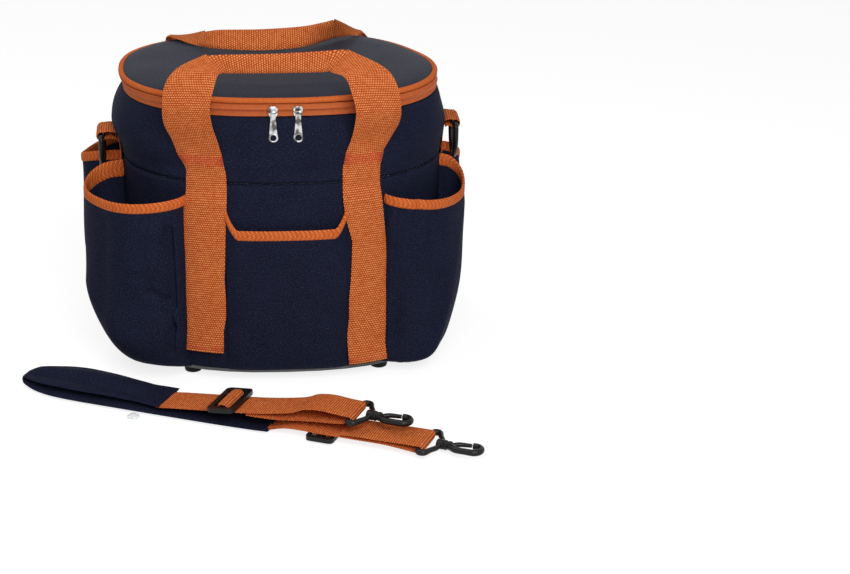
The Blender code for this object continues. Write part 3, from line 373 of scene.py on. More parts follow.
base_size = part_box("base_panel")[1]
wall_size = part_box("body_wall")[1]
band_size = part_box("body_upper_band")[1]
BULGE_HEIGHT = 0.232
PIPING_PROUD = 0.0008
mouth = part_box("lid_piping")[1] - Vector((PIPING_PROUD, PIPING_PROUD, 0.0))
mouth.z = band_size.z
profile = spline([(0.0, 0.0, 0.0, base_size.x, base_size.y),
                  (0.0, 0.0, 0.100, base_size.x + 0.0010, base_size.y + 0.0020),
                  (0.0, 0.0, wall_size.z, wall_size.x, wall_size.y),
                  (0.0, 0.0, 0.214, wall_size.x + 0.0032, wall_size.y + 0.0017),
                  (0.0, 0.0, BULGE_HEIGHT, band_size.x, band_size.y),
                  (0.0, 0.0, 0.248, mouth.x + 0.0038, mouth.y + 0.0026),
                  (0.0, 0.0, 0.262, mouth.x - 0.0022, mouth.y - 0.0002),
                  (0.0, 0.0, mouth.z, mouth.x - 0.0012, mouth.y - 0.0004)], 0.002)


def oval(half_width, half_depth, angle):
    """The bag's rounded outline; angle 0 is +X and a quarter turn is +Y."""
    cosine = np.cos(angle)
    sine = np.sin(angle)
    power = 2 / ROUNDNESS
    return (half_width * np.sign(cosine) * np.abs(cosine) ** power,
            half_depth * np.sign(sine) * np.abs(sine) ** power)


def slumped(points):
    """The soft top as it has settled: in and down at the right and behind, a little out at the left."""
    x, y, z = np.moveaxis(points, -1, 0)
    rise = eased(np.clip((z - SLUMP_START) / SLUMP_RUN, 0.0, 1.0))
    behind = np.clip((y + 0.03) / 0.10, 0.0, 1.0)
    right = rise * np.clip(x / mouth.x, 0.0, 1.0) ** 3 * (0.1 + 0.9 * eased(behind))
    bulge = LEFT_BULGE * np.exp(-((z - BULGE_HEIGHT) / 0.02) ** 2)
    overhang = LEFT_OVERHANG * np.clip((z - OVERHANG_START) / 0.008, 0.0, 1.0)
    left = (bulge + overhang) * np.clip(-x / mouth.x, 0.0, 1.0) ** 2
    back = np.clip(y / mouth.y, 0.0, 1.0)
    shift = [-SLUMP_IN[0] * right - left, -SLUMP_IN[1] * right * back, -SLUMP_IN[2] * right]
    return points + np.stack(shift, axis=-1)


def wall(angle, height, out=0.0):
    """Points that stand a distance out from the body's wall."""
    angle, height, out = np.broadcast_arrays(angle, height, out)
    half_width = np.interp(height, profile[:, 2], profile[:, 3])
    half_depth = np.interp(height, profile[:, 2], profile[:, 4])
    x, y = oval(half_width, half_depth, angle)
    nx = np.sign(x) * np.abs(x / half_width) ** (ROUNDNESS - 1) / half_width
    ny = np.sign(y) * np.abs(y / half_depth) ** (ROUNDNESS - 1) / half_depth
    size = np.hypot(nx, ny)
    under = np.clip(1 - height / HEM_RADIUS, 0.0, 1.0)
    out = out - HEM_RADIUS * (1 - np.sqrt(1 - under ** 2))
    return slumped(np.stack([x + out * nx / size, y + out * ny / size, height], axis=-1))


def angle_at(x, front=True):
    """The outline's angle at a place across the front or the back."""
    share = np.sign(x) * (np.abs(x) / wall_size.x) ** (ROUNDNESS / 2)
    return -np.arccos(share) if front else np.arccos(share)


def ripple(points, size, height, seed=0.0):
    """Soft uneven dents, as wide as size in each direction."""
    stretch = np.array(size)
    flat = (points.reshape(-1, 3) / stretch) + seed
    return height * np.array([noise.noise(Vector(p)) for p in flat]).reshape(points.shape[:-1])


def crease(a, b, start, end, width, depth):
    """A fold in a sheet whose coordinates are a and b: a soft groove from start to end."""
    run = np.array(end, float) - start
    share = np.clip(((a - start[0]) * run[0] + (b - start[1]) * run[1]) / run.dot(run), 0.0, 1.0)
    away = np.hypot(a - start[0] - share * run[0], b - start[1] - share * run[1])
    return -depth * np.exp(-(away / width) ** 2)


def rolled(height, low, high):
    """How far cloth turns in at its two sewn edges."""
    near = np.minimum(height - low, high - height)
    turn = np.clip(1 - near / SEAM_ROLL, 0.0, 1.0)
    return -SEAM_DEPTH * turn ** 2


def body_relief(points, heights):
    """How far the body's cloth stands out from, or dips under, its plain shape."""
    below = ripple(points, *WALL_RIPPLE) + 0.0004
    above = ripple(points, *BAND_RIPPLE, 4.0) + 0.0008
    in_front = points[..., 1] < 0
    for dent_x, dent_lean in BAND_DENTS:
        above += in_front * crease(points[..., 0], heights, (dent_x, DENT_LEVELS[0]),
                                   (dent_x + dent_lean, DENT_LEVELS[1]), *DENT_SIZE)
    share = np.clip((heights - wall_size.z + SEAM_ROLL) / (2 * SEAM_ROLL), 0.0, 1.0)
    return below * (1 - share) + above * share


def closed_band(name, points, material, thickness):
    """A tube of cloth that is open above and below."""
    piece = skin(name, wrapped(points), material, thickness=thickness)
    joint = bmesh.new()
    joint.from_mesh(piece.data)
    bmesh.ops.remove_doubles(joint, verts=joint.verts, dist=0.000001)
    joint.to_mesh(piece.data)
    joint.free()
    return piece


def merged(piece, distance=0.00001):
    """Joins doubled points, as at a pole, and points every face out."""
    whole = bmesh.new()
    whole.from_mesh(piece.data)
    bmesh.ops.remove_doubles(whole, verts=whole.verts, dist=distance)
    bmesh.ops.dissolve_degenerate(whole, edges=whole.edges, dist=distance)
    bmesh.ops.recalc_face_normals(whole, faces=whole.faces)
    whole.to_mesh(piece.data)
    whole.free()
    return piece


wall_angles = np.linspace(0.0, 2 * math.pi, WALL_COLUMNS, endpoint=False)
for cloth_name, cad_name, cloth_low, cloth_high, cloth_rows in (
        ("wall_cloth", "body_wall", 0.0006, wall_size.z, 80),
        ("upper_band_cloth", "body_upper_band", wall_size.z + 0.0003, mouth.z + 0.0004, 50)):
    heights = np.linspace(cloth_low, cloth_high, cloth_rows)[:, None]
    plain = wall(wall_angles, heights)
    turned_in = rolled(heights, cloth_low if cad_name == "body_upper_band" else -1.0,
                       cloth_high if cad_name == "body_wall" else 1.0)
    shaped = wall(wall_angles, heights, body_relief(plain, heights) + turned_in)
    fit(closed_band(cloth_name, shaped, navy_cloth, CLOTH), "bag", "navy_polyester", cad_name)

lining_cloth = cloth_material("grey_lining", 0.0009, (0.075, 0.078, 0.088), (0.030, 0.031, 0.036),
                              (0.14, 0.14, 0.15), 0.7, coordinates="Object", specular=0.15)
foam_body = cloth_material("padding_foam", 0.0016, (0.70, 0.70, 0.67), (0.45, 0.45, 0.43),
                           (0.8, 0.8, 0.78), 0.9, coordinates="Object")
board_body = cloth_material("base_board", 0.004, (0.10, 0.10, 0.10), (0.08, 0.08, 0.08),
                            (0.13, 0.13, 0.13), 0.6, coordinates="Object", bump=0.1)
foam_heights = np.linspace(FOAM_FLOOR, mouth.z - 0.003, 24)[:, None]
foam = closed_band("wall_padding", wall(wall_angles[::4], foam_heights, -FOAM_INSET), foam_body, FOAM)
fit(foam, "bag", "foam", "wall_foam")
lining_inset = FOAM_INSET + FOAM + 0.0004
lining_heights = np.linspace(LINING_FLOOR, mouth.z - 0.0024, 30)[:, None]
lining_points = wall(wall_angles[::3], lining_heights, -lining_inset)
lining_floor = lining_points[0] * (np.linspace(0.0, 1.0, 12)[:, None, None] ** 0.7 * (1, 1, 0) + (0, 0, 1))
lining_points = wrapped(np.concatenate([lining_floor[:-1], lining_points]))
lining = thickened(merged(skin("bag_lining", lining_points[:, ::-1], lining_cloth)), LINING)
fit(lining, "bag", "grey_lining", "body_lining")
board_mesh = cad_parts["base_board"].data
board_mesh.materials.clear()
board_mesh.materials.append(board_body)


# Base: a flat panel of the same cloth with a welt sewn round its edge, on four tapered rubber
# feet whose shanks pass through a stiffener board.
BASE_CLOTH = 0.0010
WELT_RADIUS = 0.0017
WELT_LEVEL = 0.0035
FOOT_PROFILE = ((0.0, 0.0), (0.0068, 0.0), (0.0079, 0.0006), (0.0082, 0.0016), (0.0091, 0.0074),
                (0.0088, 0.0082), (0.0020, 0.0082), (0.0020, 0.0136), (0.0044, 0.0136),
                (0.0040, 0.0142), (0.0, 0.0143))
FOOT_SIDES = 40


def moulded_material(name, colour, roughness, grain=0.15, scale=2600.0, specular=0.5):
    """Moulded plastic or rubber: fine grain and slight changes of gloss."""
    material, tree, shader, relief = new_material(name, specular, bump=grain, depth=0.0001)
    place = node(tree, "ShaderNodeTexCoord").outputs["Object"]
    fine = node(tree, "ShaderNodeTexNoise", {"Vector": place, "Scale": scale, "Detail": 2.0})
    slow = node(tree, "ShaderNodeTexNoise", {"Vector": place, "Scale": 120.0, "Detail": 3.0})
    tone = mixed(tree, slow.outputs["Fac"], (*colour, 1.0), (*[c * 1.8 + 0.004 for c in colour], 1.0))
    tree.links.new(tone, shader.inputs["Base Color"])
    rough = calc(tree, "MULTIPLY_ADD", slow.outputs["Fac"], 0.2, roughness - 0.1)
    tree.links.new(rough, shader.inputs["Roughness"])
    tree.links.new(fine.outputs["Fac"], relief.inputs["Height"])
    return material


rubber = moulded_material("foot_rubber", (0.004, 0.004, 0.0045), 0.6, specular=0.15)


def turned(profile_points, sides):
    """Rows of points round the Z axis from (radius, height) pairs."""
    turn = np.arange(sides) * 2 * math.pi / sides
    return np.array([[(r * math.cos(a), r * math.sin(a), z) for a in turn] for r, z in profile_points])


for foot_name in ("foot_front_left", "foot_front_right", "foot_back_left", "foot_back_right"):
    foot_low, foot_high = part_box(foot_name)
    foot_points = turned(FOOT_PROFILE, FOOT_SIDES)
    foot_points += ((foot_low.x + foot_high.x) / 2, (foot_low.y + foot_high.y) / 2, foot_low.z)
    foot = merged(skin(f"{foot_name}_rubber", foot_points, rubber, closed=True, smooth_angle=35.0))
    fit(foot, "bag", "black_plastic", foot_name)

base_heights = np.linspace(0.0, 1.0, 24)[:, None]
base_x, base_y = oval(base_size.x - HEM_RADIUS + 0.001, base_size.y - HEM_RADIUS + 0.001, wall_angles)
base_points = np.stack([base_x * base_heights, base_y * base_heights,
                        0.0 * base_x + 0.0002 * np.sin(base_heights * 9.0)], axis=-1)
base_piece = thickened(merged(skin("base_cloth", wrapped(base_points), navy_cloth)), BASE_CLOTH, 0.0)
fit(base_piece, "bag", "navy_polyester", "base_panel")


def tube_points(route, radius, sides=12, closed=False):
    """Rows of points round a route; the radius may change along it."""
    route = np.asarray(route, float)
    if closed:
        along = np.roll(route, -1, axis=0) - np.roll(route, 1, axis=0)
    else:
        along = np.gradient(route, axis=0)
    along /= np.linalg.norm(along, axis=1)[:, None]
    normal = np.cross(along[0], (0.0, 0.0, 1.0))
    if np.linalg.norm(normal) < 0.2:
        normal = np.cross(along[0], (1.0, 0.0, 0.0))
    normals = []
    for run in along:
        normal = normal - run * normal.dot(run)
        normal /= np.linalg.norm(normal)
        normals.append(normal)
    normals = np.array(normals)
    binormals = np.cross(along, normals)
    turn = np.arange(sides) * 2 * math.pi / sides
    radius = np.broadcast_to(radius, (len(route),))[:, None, None]
    return (route[:, None] + radius * (normals[:, None] * np.cos(turn)[:, None]
                                       + binormals[:, None] * np.sin(turn)[:, None]))


def closed_tube(name, points, material):
    """A tube whose last row joins its first."""
    return merged(skin(name, wrapped(np.concatenate([points, points[:1]])), material))


def ring_tube(name, route, radius, material, sides=12):
    """A closed ring of round section."""
    return closed_tube(name, tube_points(route, radius, sides, closed=True), material)


welt_route = wall(wall_angles, WELT_LEVEL, 0.0004)
fit(ring_tube("base_welt", welt_route, WELT_RADIUS, navy_cloth, 8), "bag", "navy_polyester")


# Zip: an orange tape sewn round the mouth and another round the lid, with coil teeth between
# them. It stops at the cloth hinge behind.
# ORANGE_SHADE and ZIP_SHADE are painted shade for the gaps of the weave; ORANGE_LIGHT is a painted highlight
# for its crests.
ORANGE = (1.000, 0.200, 0.034)
ORANGE_SHADE = (0.250, 0.026, 0.006)
ORANGE_LIGHT = (0.830, 0.330, 0.110)
ZIP_ORANGE = (0.760, 0.165, 0.040)
ZIP_SHADE = (0.400, 0.060, 0.018)
TOOTH_PITCH = 0.0013
TOOTH_SIZE = (0.0008, 0.0016, 0.0016)
STITCH_PITCH = 0.0034
STITCH_SIZE = (0.0024, 0.0006, 0.0006)
ZIP_TAPE = 0.0008
ZIP_SEAM = 0.0010
TEETH_RIDGE = (0.0014, 0.0007)
TAPE_EDGE = (0.0008, 0.0009)


def narrow_weave_group():
    """Webbing and tape: ribs across the length, straight or slanted to a herringbone, of small picks."""
    colour = "NodeSocketColor"
    number = "NodeSocketFloat"
    tree, given, result = new_group("narrow_weave", [
        ("Place", "NodeSocketVector", (0.0, 0.0, 0.0)), ("Rib", number, 0.0024), ("Pick", number, 0.0013),
        ("Slant", number, 0.0), ("Thread", colour, (0.5, 0.5, 0.5, 1.0)),
        ("Shade", colour, (0.1, 0.1, 0.1, 1.0)), ("Light", colour, (0.8, 0.8, 0.8, 1.0)),
        ("Roughness", number, 0.7)],
        [("Color", colour), ("Roughness", number), ("Height", number)])
    place = node(tree, "ShaderNodeSeparateXYZ", {0: given["Place"]})
    wander = node(tree, "ShaderNodeTexNoise", {"Vector": given["Place"], "Scale": 90.0, "Detail": 2.0})
    drift = calc(tree, "MULTIPLY_ADD", wander.outputs["Fac"], 0.3, -0.15)
    slant = calc(tree, "MULTIPLY", calc(tree, "ABSOLUTE", place.outputs["X"]), given["Slant"])
    row = calc(tree, "DIVIDE", calc(tree, "ADD", place.outputs["Y"], slant), given["Rib"])
    row = calc(tree, "ADD", row, drift)
    odd = calc(tree, "MULTIPLY", calc(tree, "MODULO", calc(tree, "FLOOR", row), 2.0), 0.5)
    column = calc(tree, "ADD", calc(tree, "DIVIDE", place.outputs["X"], given["Pick"]), odd)
    crest = calc(tree, "ABSOLUTE", calc(tree, "SINE", calc(tree, "MULTIPLY", row, math.pi)))
    swell = calc(tree, "COSINE", calc(tree, "MULTIPLY", column, 2 * math.pi))
    pick = calc(tree, "MULTIPLY_ADD", swell, 0.5, 0.5)
    height = calc(tree, "MULTIPLY", crest, calc(tree, "MULTIPLY_ADD", pick, 0.7, 0.3))
    cell = node(tree, "ShaderNodeCombineXYZ", {0: calc(tree, "FLOOR", column), 1: calc(tree, "FLOOR", row)})
    chance = node(tree, "ShaderNodeTexWhiteNoise", {"Vector": cell.outputs[0]}, noise_dimensions="2D")
    spark = chance.outputs["Value"]
    # Painted shade: where the height is low, in the gaps between ribs and picks, the thread colour goes
    # towards Shade.
    lit_share = calc(tree, "MULTIPLY_ADD", spark, 0.26, 0.74)
    threads = mixed(tree, calc(tree, "MULTIPLY", calc(tree, "POWER", height, 0.7), lit_share), given["Shade"],
                    given["Thread"])
    # Painted highlights: the Light colour is mixed in on the crests, where the height is greatest.
    crests = calc(tree, "POWER", height, 2.0)
    lights = calc(tree, "MULTIPLY", crests, calc(tree, "MULTIPLY_ADD", spark, 0.55, 0.40))
    lit = mixed(tree, calc(tree, "MINIMUM", lights, 1.0), threads, given["Light"])
    slow = node(tree, "ShaderNodeTexNoise", {"Vector": given["Place"], "Scale": 55.0, "Detail": 3.0})
    worn = node(tree, "ShaderNodeMapRange", {0: slow.outputs["Fac"], 1: 0.35, 2: 0.75, 3: 0.0, 4: 0.12})
    tree.links.new(mixed(tree, worn.outputs[0], lit, given["Shade"]), result["Color"])
    tree.links.new(calc(tree, "MULTIPLY_ADD", height, -0.15, given["Roughness"]), result["Roughness"])
    tree.links.new(height, result["Height"])
    return tree


narrow_weave = narrow_weave_group()


def tape_material(name, rib, pick, slant, thread, shade, light, roughness, specular):
    """Webbing or tape: the spacing of its ribs and picks, and its colours."""
    values = {"Rib": rib, "Pick": pick, "Slant": slant, "Thread": thread, "Shade": shade, "Light": light,
              "Roughness": roughness}
    return group_material(name, narrow_weave, values, specular=specular)


zip_tape = tape_material("zip_tape", 0.0009, 0.0009, 0.0, ZIP_ORANGE, ZIP_SHADE, ORANGE_LIGHT, 0.75, 0.15)
zip_coil = moulded_material("zip_coil", (0.40, 0.085, 0.024), 0.45, grain=0.05)
thread = moulded_material("sewing_thread", (0.50, 0.13, 0.030), 0.65, grain=0.05)


def beading_tree():
    """Geometry nodes that set small beads, such as stitches or teeth, along a line."""
    tree = bpy.data.node_groups.new("beads_along_line", "GeometryNodeTree")
    for label, kind in (("Line", "NodeSocketGeometry"), ("Pitch", "NodeSocketFloat"),
                        ("Size", "NodeSocketVector"), ("Finish", "NodeSocketMaterial")):
        tree.interface.new_socket(name=label, in_out="INPUT", socket_type=kind)
    tree.interface.new_socket(name="Beads", in_out="OUTPUT", socket_type="NodeSocketGeometry")
    given = node(tree, "NodeGroupInput").outputs
    curve = node(tree, "GeometryNodeMeshToCurve", {"Mesh": given["Line"]})
    points = node(tree, "GeometryNodeCurveToPoints", {"Curve": curve.outputs[0], "Length": given["Pitch"]},
                  mode="LENGTH")
    bead = node(tree, "GeometryNodeMeshUVSphere", {"Segments": 6, "Rings": 4, "Radius": 0.5})
    turn = node(tree, "FunctionNodeAlignRotationToVector", {"Vector": points.outputs["Tangent"]}, axis="X")
    beads = node(tree, "GeometryNodeInstanceOnPoints", {"Points": points.outputs["Points"],
                                                       "Instance": bead.outputs["Mesh"],
                                                       "Rotation": turn.outputs[0], "Scale": given["Size"]})
    solid = node(tree, "GeometryNodeRealizeInstances", {0: beads.outputs[0]})
    smooth = node(tree, "GeometryNodeSetShadeSmooth", {0: solid.outputs[0]})
    painted = node(tree, "GeometryNodeSetMaterial", {"Geometry": smooth.outputs[0],
                                                     "Material": given["Finish"]})
    node(tree, "NodeGroupOutput", {"Beads": painted.outputs[0]})
    return tree


beading = beading_tree()


def beads(name, lines, pitch, size, material):
    """One mesh of stitches or teeth along several lines of points."""
    verts = []
    edges = []
    for line in lines:
        edges += [(len(verts) + i, len(verts) + i + 1) for i in range(len(line) - 1)]
        verts += [tuple(p) for p in line]
    mesh = bpy.data.meshes.new(f"{name}_line")
    mesh.from_pydata(verts, edges, [])
    source = bpy.data.objects.new(f"{name}_line", mesh)
    scene.collection.objects.link(source)
    modifier = source.modifiers.new("beads", "NODES")
    modifier.node_group = beading
    values = {"Pitch": pitch, "Size": size, "Finish": material}
    for item in beading.interface.items_tree:
        if item.in_out == "INPUT" and item.name in values:
            modifier[item.identifier] = values[item.name]
    source.update_tag()
    bpy.context.view_layer.update()
    depsgraph = bpy.context.evaluated_depsgraph_get()
    result = bpy.data.meshes.new_from_object(source.evaluated_get(depsgraph))
    result.name = name
    source.modifiers.clear()
    bpy.data.objects.remove(source, do_unlink=True)
    piece = bpy.data.objects.new(name, result)
    scene.collection.objects.link(piece)
    return piece


hinge_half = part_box("hinge_strip_body")[1].x
hinge_right = float(angle_at(hinge_half + 0.0006, front=False))
zip_angles = np.linspace(math.pi - hinge_right, 2 * math.pi + hinge_right, 400)


def mouth_ring(angles, height, out=0.0):
    """Points on the mouth's outline at a height."""
    angles, height, out = np.broadcast_arrays(angles, height, out)
    x, y = oval(mouth.x + out, mouth.y + out, angles)
    return slumped(np.stack([x, y, height], axis=-1))


for half_name, body_name, tape_node, teeth_node in (("lower", "bag", "zip_tape_lower", "zip_teeth_lower"),
                                                    ("upper", "lid", "zip_tape_upper", "zip_teeth_upper")):
    tape_low, tape_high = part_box(tape_node)
    teeth_low, teeth_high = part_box(teeth_node)
    low = min(tape_low.z, teeth_low.z)
    high = max(tape_high.z, teeth_high.z)
    teeth_level = (teeth_low.z + teeth_high.z) / 2
    tape_rows = np.linspace(low, high, 9)[:, None]
    toward_teeth = np.clip(1 - np.abs(tape_rows - teeth_level) / TEETH_RIDGE[0], 0.0, 1.0)
    edge = np.clip(1 - np.minimum(tape_rows - low, high - tape_rows) / TAPE_EDGE[0], 0.0, 1.0)
    tape_out = TEETH_RIDGE[1] * toward_teeth - TAPE_EDGE[1] * edge ** 2
    tape = skin(f"zip_tape_{half_name}_cloth", mouth_ring(zip_angles, tape_rows, tape_out), zip_tape,
                thickness=ZIP_TAPE)
    fit(tape, body_name, "orange_zip", tape_node)
    inner = teeth_low.z if half_name == "upper" else teeth_high.z
    tooth_line = mouth_ring(zip_angles[4:-4], inner, 0.0003)
    coil = beads(f"zip_coil_{half_name}", [tooth_line], TOOTH_PITCH, TOOTH_SIZE, zip_coil)
    fit(coil, body_name, "orange_zip", teeth_node)
    sewn = tape_low.z + ZIP_SEAM if half_name == "lower" else tape_high.z - ZIP_SEAM
    row = beads(f"zip_stitches_{half_name}", [mouth_ring(zip_angles, sewn, 0.0002)], STITCH_PITCH * 0.8,
                STITCH_SIZE, thread)
    fit(row, body_name, "orange_zip")


# Lid: a soft padded panel of the same cloth in lighter, greyer colours, painted light and sheen where
# its top faces the lamps, with orange piping sewn round its edge. A strip of cloth behind is its hinge.
LIT_LID_NAVY = (0.028, 0.031, 0.049)
LIT_LID_GAP = (0.013, 0.014, 0.022)
LIT_LID_GLINT = (0.070, 0.075, 0.105)
LID_CLEARANCE = 0.0004
LID_PADDING = 0.0028
LID_LINING = 0.0008
HINGE_CLOTH = 0.0010
HINGE_DENT = 0.00036
HINGE_FOLDS = 900.0
PIPING_RADIUS = 0.0027
PIPING_DROP = 0.0022
LID_EDGE = 0.0020
LID_SAG = 0.0016
# Painted shade for the gaps of the binding's weave.
BINDING_SHADE = (0.400, 0.062, 0.014)

# Painted light: the lid's cloth is the body's cloth in lighter colours, for the light and sheen on its top.
lit_lid_cloth = cloth_material("lit_lid_cloth", CLOTH_PITCH, LIT_LID_NAVY, LIT_LID_GAP, LIT_LID_GLINT, 0.6, specular=0.1)
piping_low, piping_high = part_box("lid_piping")
piping_level = (piping_low.z + piping_high.z) / 2
lid_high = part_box("lid_top")[1].z


def lid_sheet(name, inset, rise, material, thickness, wavy):
    """A round sheet across the lid: rise gives its height at each share of the way out."""
    shares = np.linspace(0.0, 1.0, 60)[:, None] ** 0.8
    x, y = oval(mouth.x - inset, mouth.y - inset, wall_angles[::2])
    sheet = np.stack([x * shares, y * shares, rise(shares) + 0.0 * x], axis=-1)
    sheet[..., 2] += ripple(sheet, (0.06, 0.045, 1.0), wavy, 2.0) * (1 - shares ** 4)
    sheet[..., 2] = np.minimum(sheet[..., 2], lid_high + LID_CLEARANCE)
    piece = merged(skin(name, wrapped(slumped(sheet)), material))
    planar = piece.data.uv_layers[0].data
    for corner in piece.data.loops:
        spot = piece.data.vertices[corner.vertex_index].co
        planar[corner.index].uv = (spot.x, spot.y)
    return thickened(piece, thickness)


def lid_rise(share):
    """The lid's padded top: nearly level, and round at its edge."""
    return piping_level + (lid_high + 0.0010 - piping_level) * (1 - share ** 4) ** 0.4 - 0.0012 * share ** 12


def padding_rise(share):
    """The top of the lid's padding."""
    return lid_rise(share) - CLOTH - LID_CLEARANCE


def lining_rise(share):
    """The lid's lining, level all over."""
    return piping_level - 0.0030 + 0.0 * share


fit(lid_sheet("lid_panel", LID_EDGE, lid_rise, lit_lid_cloth, CLOTH, LID_SAG), "lid", "navy_polyester", "lid_top")
lid_padding = lid_sheet("lid_padding", LID_EDGE + 0.003, padding_rise, foam_body, LID_PADDING, LID_SAG)
fit(lid_padding, "lid", "foam", "lid_foam")
lid_inner = lid_sheet("lid_inner_cloth", LID_EDGE + 0.002, lining_rise, lining_cloth, LID_LINING, 0.0006)
fit(lid_inner, "lid", "grey_lining", "lid_lining")

bias = {"thread": ORANGE, "shade": BINDING_SHADE, "light": ORANGE_LIGHT, "roughness": 0.72, "specular": 0.05}
binding_tape = tape_material("binding_tape", 0.0021, 0.0080, 1.1, **bias)
piping_tape = tape_material("piping_tape", 0.0012, 0.0012, 0.4, **bias)
piping_inset = PIPING_RADIUS - PIPING_PROUD
piping_route = mouth_ring(wall_angles, piping_level, -piping_inset)
piping_route[:, 2] += ripple(piping_route, (0.07, 0.07, 1.0), 0.0005, 7.0)
piping_route[:, 2] -= PIPING_DROP * np.clip(piping_route[:, 1] / mouth.y, 0.0, 1.0)
piping = ring_tube("lid_piping_tape", piping_route, PIPING_RADIUS, piping_tape, 14)
fit(piping, "lid", "orange_binding", "lid_piping")

hinge_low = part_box("hinge_strip_body")[0].z
hinge_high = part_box("hinge_strip_lid")[1].z
hinge_angles = np.linspace(hinge_right, math.pi - hinge_right, 60)
hinge_rows = np.linspace(hinge_low, hinge_high, 25)[:, None]
hinge_out = -HINGE_DENT * np.abs(np.sin((hinge_rows - hinge_low) * HINGE_FOLDS))
hinge_points = mouth_ring(hinge_angles, hinge_rows, hinge_out)
hinge = skin("hinge_cloth", hinge_points, navy_cloth, thickness=HINGE_CLOTH)
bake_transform(hinge)
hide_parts("hinge_strip_body", "hinge_strip_lid")


# Webbing: the same orange ribbed tape makes the straps sewn down the body, the two handles, and
# the side straps. Its ribs are real, and its picks are in the material.
WEBBING = 0.0017
# Painted highlight for the crests of the webbing's ribs.
WEBBING_LIGHT = (1.0, 0.50, 0.20)
WEB_WIDTH = 0.038
RIB = 0.0022
RIB_DEPTH = 0.00034
LIE = 0.0011
OVER_POCKET = 0.0022
POCKET_TOP = 0.182
STITCH_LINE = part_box("front_strap_left")[1].z
STRAP_MIDDLE = 0.0755
STRAP_FEET = {("front", "left"): 0.024, ("front", "right"): 0.009,
              ("back", "left"): 0.012, ("back", "right"): 0.012}
HELD_UP = 0.018
FOOT_LIFT = 0.0028

# Height, and how far the left and the right edge of a front strap lie to the right of straight.
STRAP_EDGE_MOVES = {
    "left": ((0.024, -0.0085, -0.0035), (0.045, -0.0090, -0.0038), (0.061, -0.0060, -0.0012),
             (0.080, -0.0012, -0.0010), (0.098, 0.0, -0.0018), (0.116, -0.0028, -0.0010),
             (0.143, -0.0030, 0.0), (0.160, -0.0010, 0.0010), (0.178, 0.0022, 0.0018),
             (0.205, 0.0038, 0.0018), (0.214, 0.0028, 0.0010), (0.223, 0.0, 0.0)),
    "right": ((0.010, 0.0020, 0.0040), (0.020, 0.0015, 0.0042), (0.039, 0.0008, 0.0042),
              (0.057, 0.0025, 0.0044), (0.076, 0.0022, 0.0020), (0.094, 0.0038, 0.0012),
              (0.112, 0.0045, 0.0), (0.135, 0.0050, -0.0014), (0.157, -0.0010, -0.0036),
              (0.175, -0.0038, -0.0055), (0.193, -0.0040, -0.0070), (0.211, -0.0040, -0.0085),
              (0.223, -0.0030, -0.0065))}

webbing = tape_material("orange_webbing", RIB, 0.0022, 0.0, ORANGE, ORANGE_SHADE, WEBBING_LIGHT, 0.75, 0.04)


def band(name, middle, material, thickness=WEBBING, rib=RIB, squareness=6.0, even=False):
    """A closed strip of tape about a sheet of points: rows go along it, columns across it.

    Even ribs follow the rows; otherwise each edge keeps its own length, as on a tape that bends.
    """
    along = np.gradient(middle, axis=0)
    across = np.gradient(middle, axis=1)
    normal = np.cross(across, along)
    normal /= np.linalg.norm(normal, axis=2)[..., None]
    distance = np.stack([lengths(column) for column in middle.transpose(1, 0, 2)], axis=1)
    if even:
        distance = np.repeat(distance.mean(axis=1)[:, None], distance.shape[1], axis=1)
    width = lengths(middle[len(middle) // 2])
    share = 2 * width / width[-1] - 1
    thickness = np.broadcast_to(thickness, (len(middle),))[:, None]
    edge = (1 - np.abs(share) ** squareness) ** 0.5
    ribs = RIB_DEPTH * (np.abs(np.sin(math.pi * distance / rib)) - 0.5) if rib else 0.0
    lift = ((thickness / 2 + ribs) * edge)[..., None]
    over = middle + normal * lift
    under = middle - normal * lift
    points = np.concatenate([over, under[:, -2:0:-1]], axis=1)
    place = width - width[-1] / 2
    u = np.concatenate([place, place[-2:0:-1], place[:1]])
    v = np.concatenate([distance, distance[:, -2:0:-1], distance[:, :1]], axis=1)
    return merged(skin(name, points, material, closed=True, u=u, v=v), 0.000001)


def ruled(stations, columns=11, step=RIB / 4):
    """A sheet of points between two smooth edges, from pairs of edge points."""
    edges = spline([(*a, *b) for a, b in stations], step)
    share = np.linspace(0.0, 1.0, columns)[None, :, None]
    return edges[:, None, :3] * (1 - share) + edges[:, None, 3:] * share


def body_strip(places, heights, out, front):
    """A sheet of points over the body's cloth and pockets: rows by height, columns by place across."""
    angles = np.atleast_2d(angle_at(np.asarray(places), front))
    heights = np.asarray(heights)[:, None]
    plain = wall(angles, heights)
    over = OVER_POCKET * np.clip((POCKET_TOP + 0.006 - heights) / 0.012, 0.0, 1.0)
    return wall(angles, heights, out + over + body_relief(plain, heights))


def strap_place(face_name, hand, height, share):
    """Where a point of a sewn strap lies across the bag; share is 0 at its left edge and 1 at its right."""
    middle = STRAP_MIDDLE * (-1 if hand == "left" else 1)
    places = middle + WEB_WIDTH * (np.asarray(share) - 0.5) + 0.0 * np.asarray(height)
    if face_name == "front":
        levels, left, right = np.array(STRAP_EDGE_MOVES[hand]).T
        places = places + np.interp(height, levels, left) * (1 - share)
        places = places + np.interp(height, levels, right) * share
    return places


def strap_lift(level, strap_foot, front):
    """How far a front strap's foot stands off the cloth under it."""
    return np.interp(level, (strap_foot, strap_foot + HELD_UP), (FOOT_LIFT if front else 0.0, 0.0))


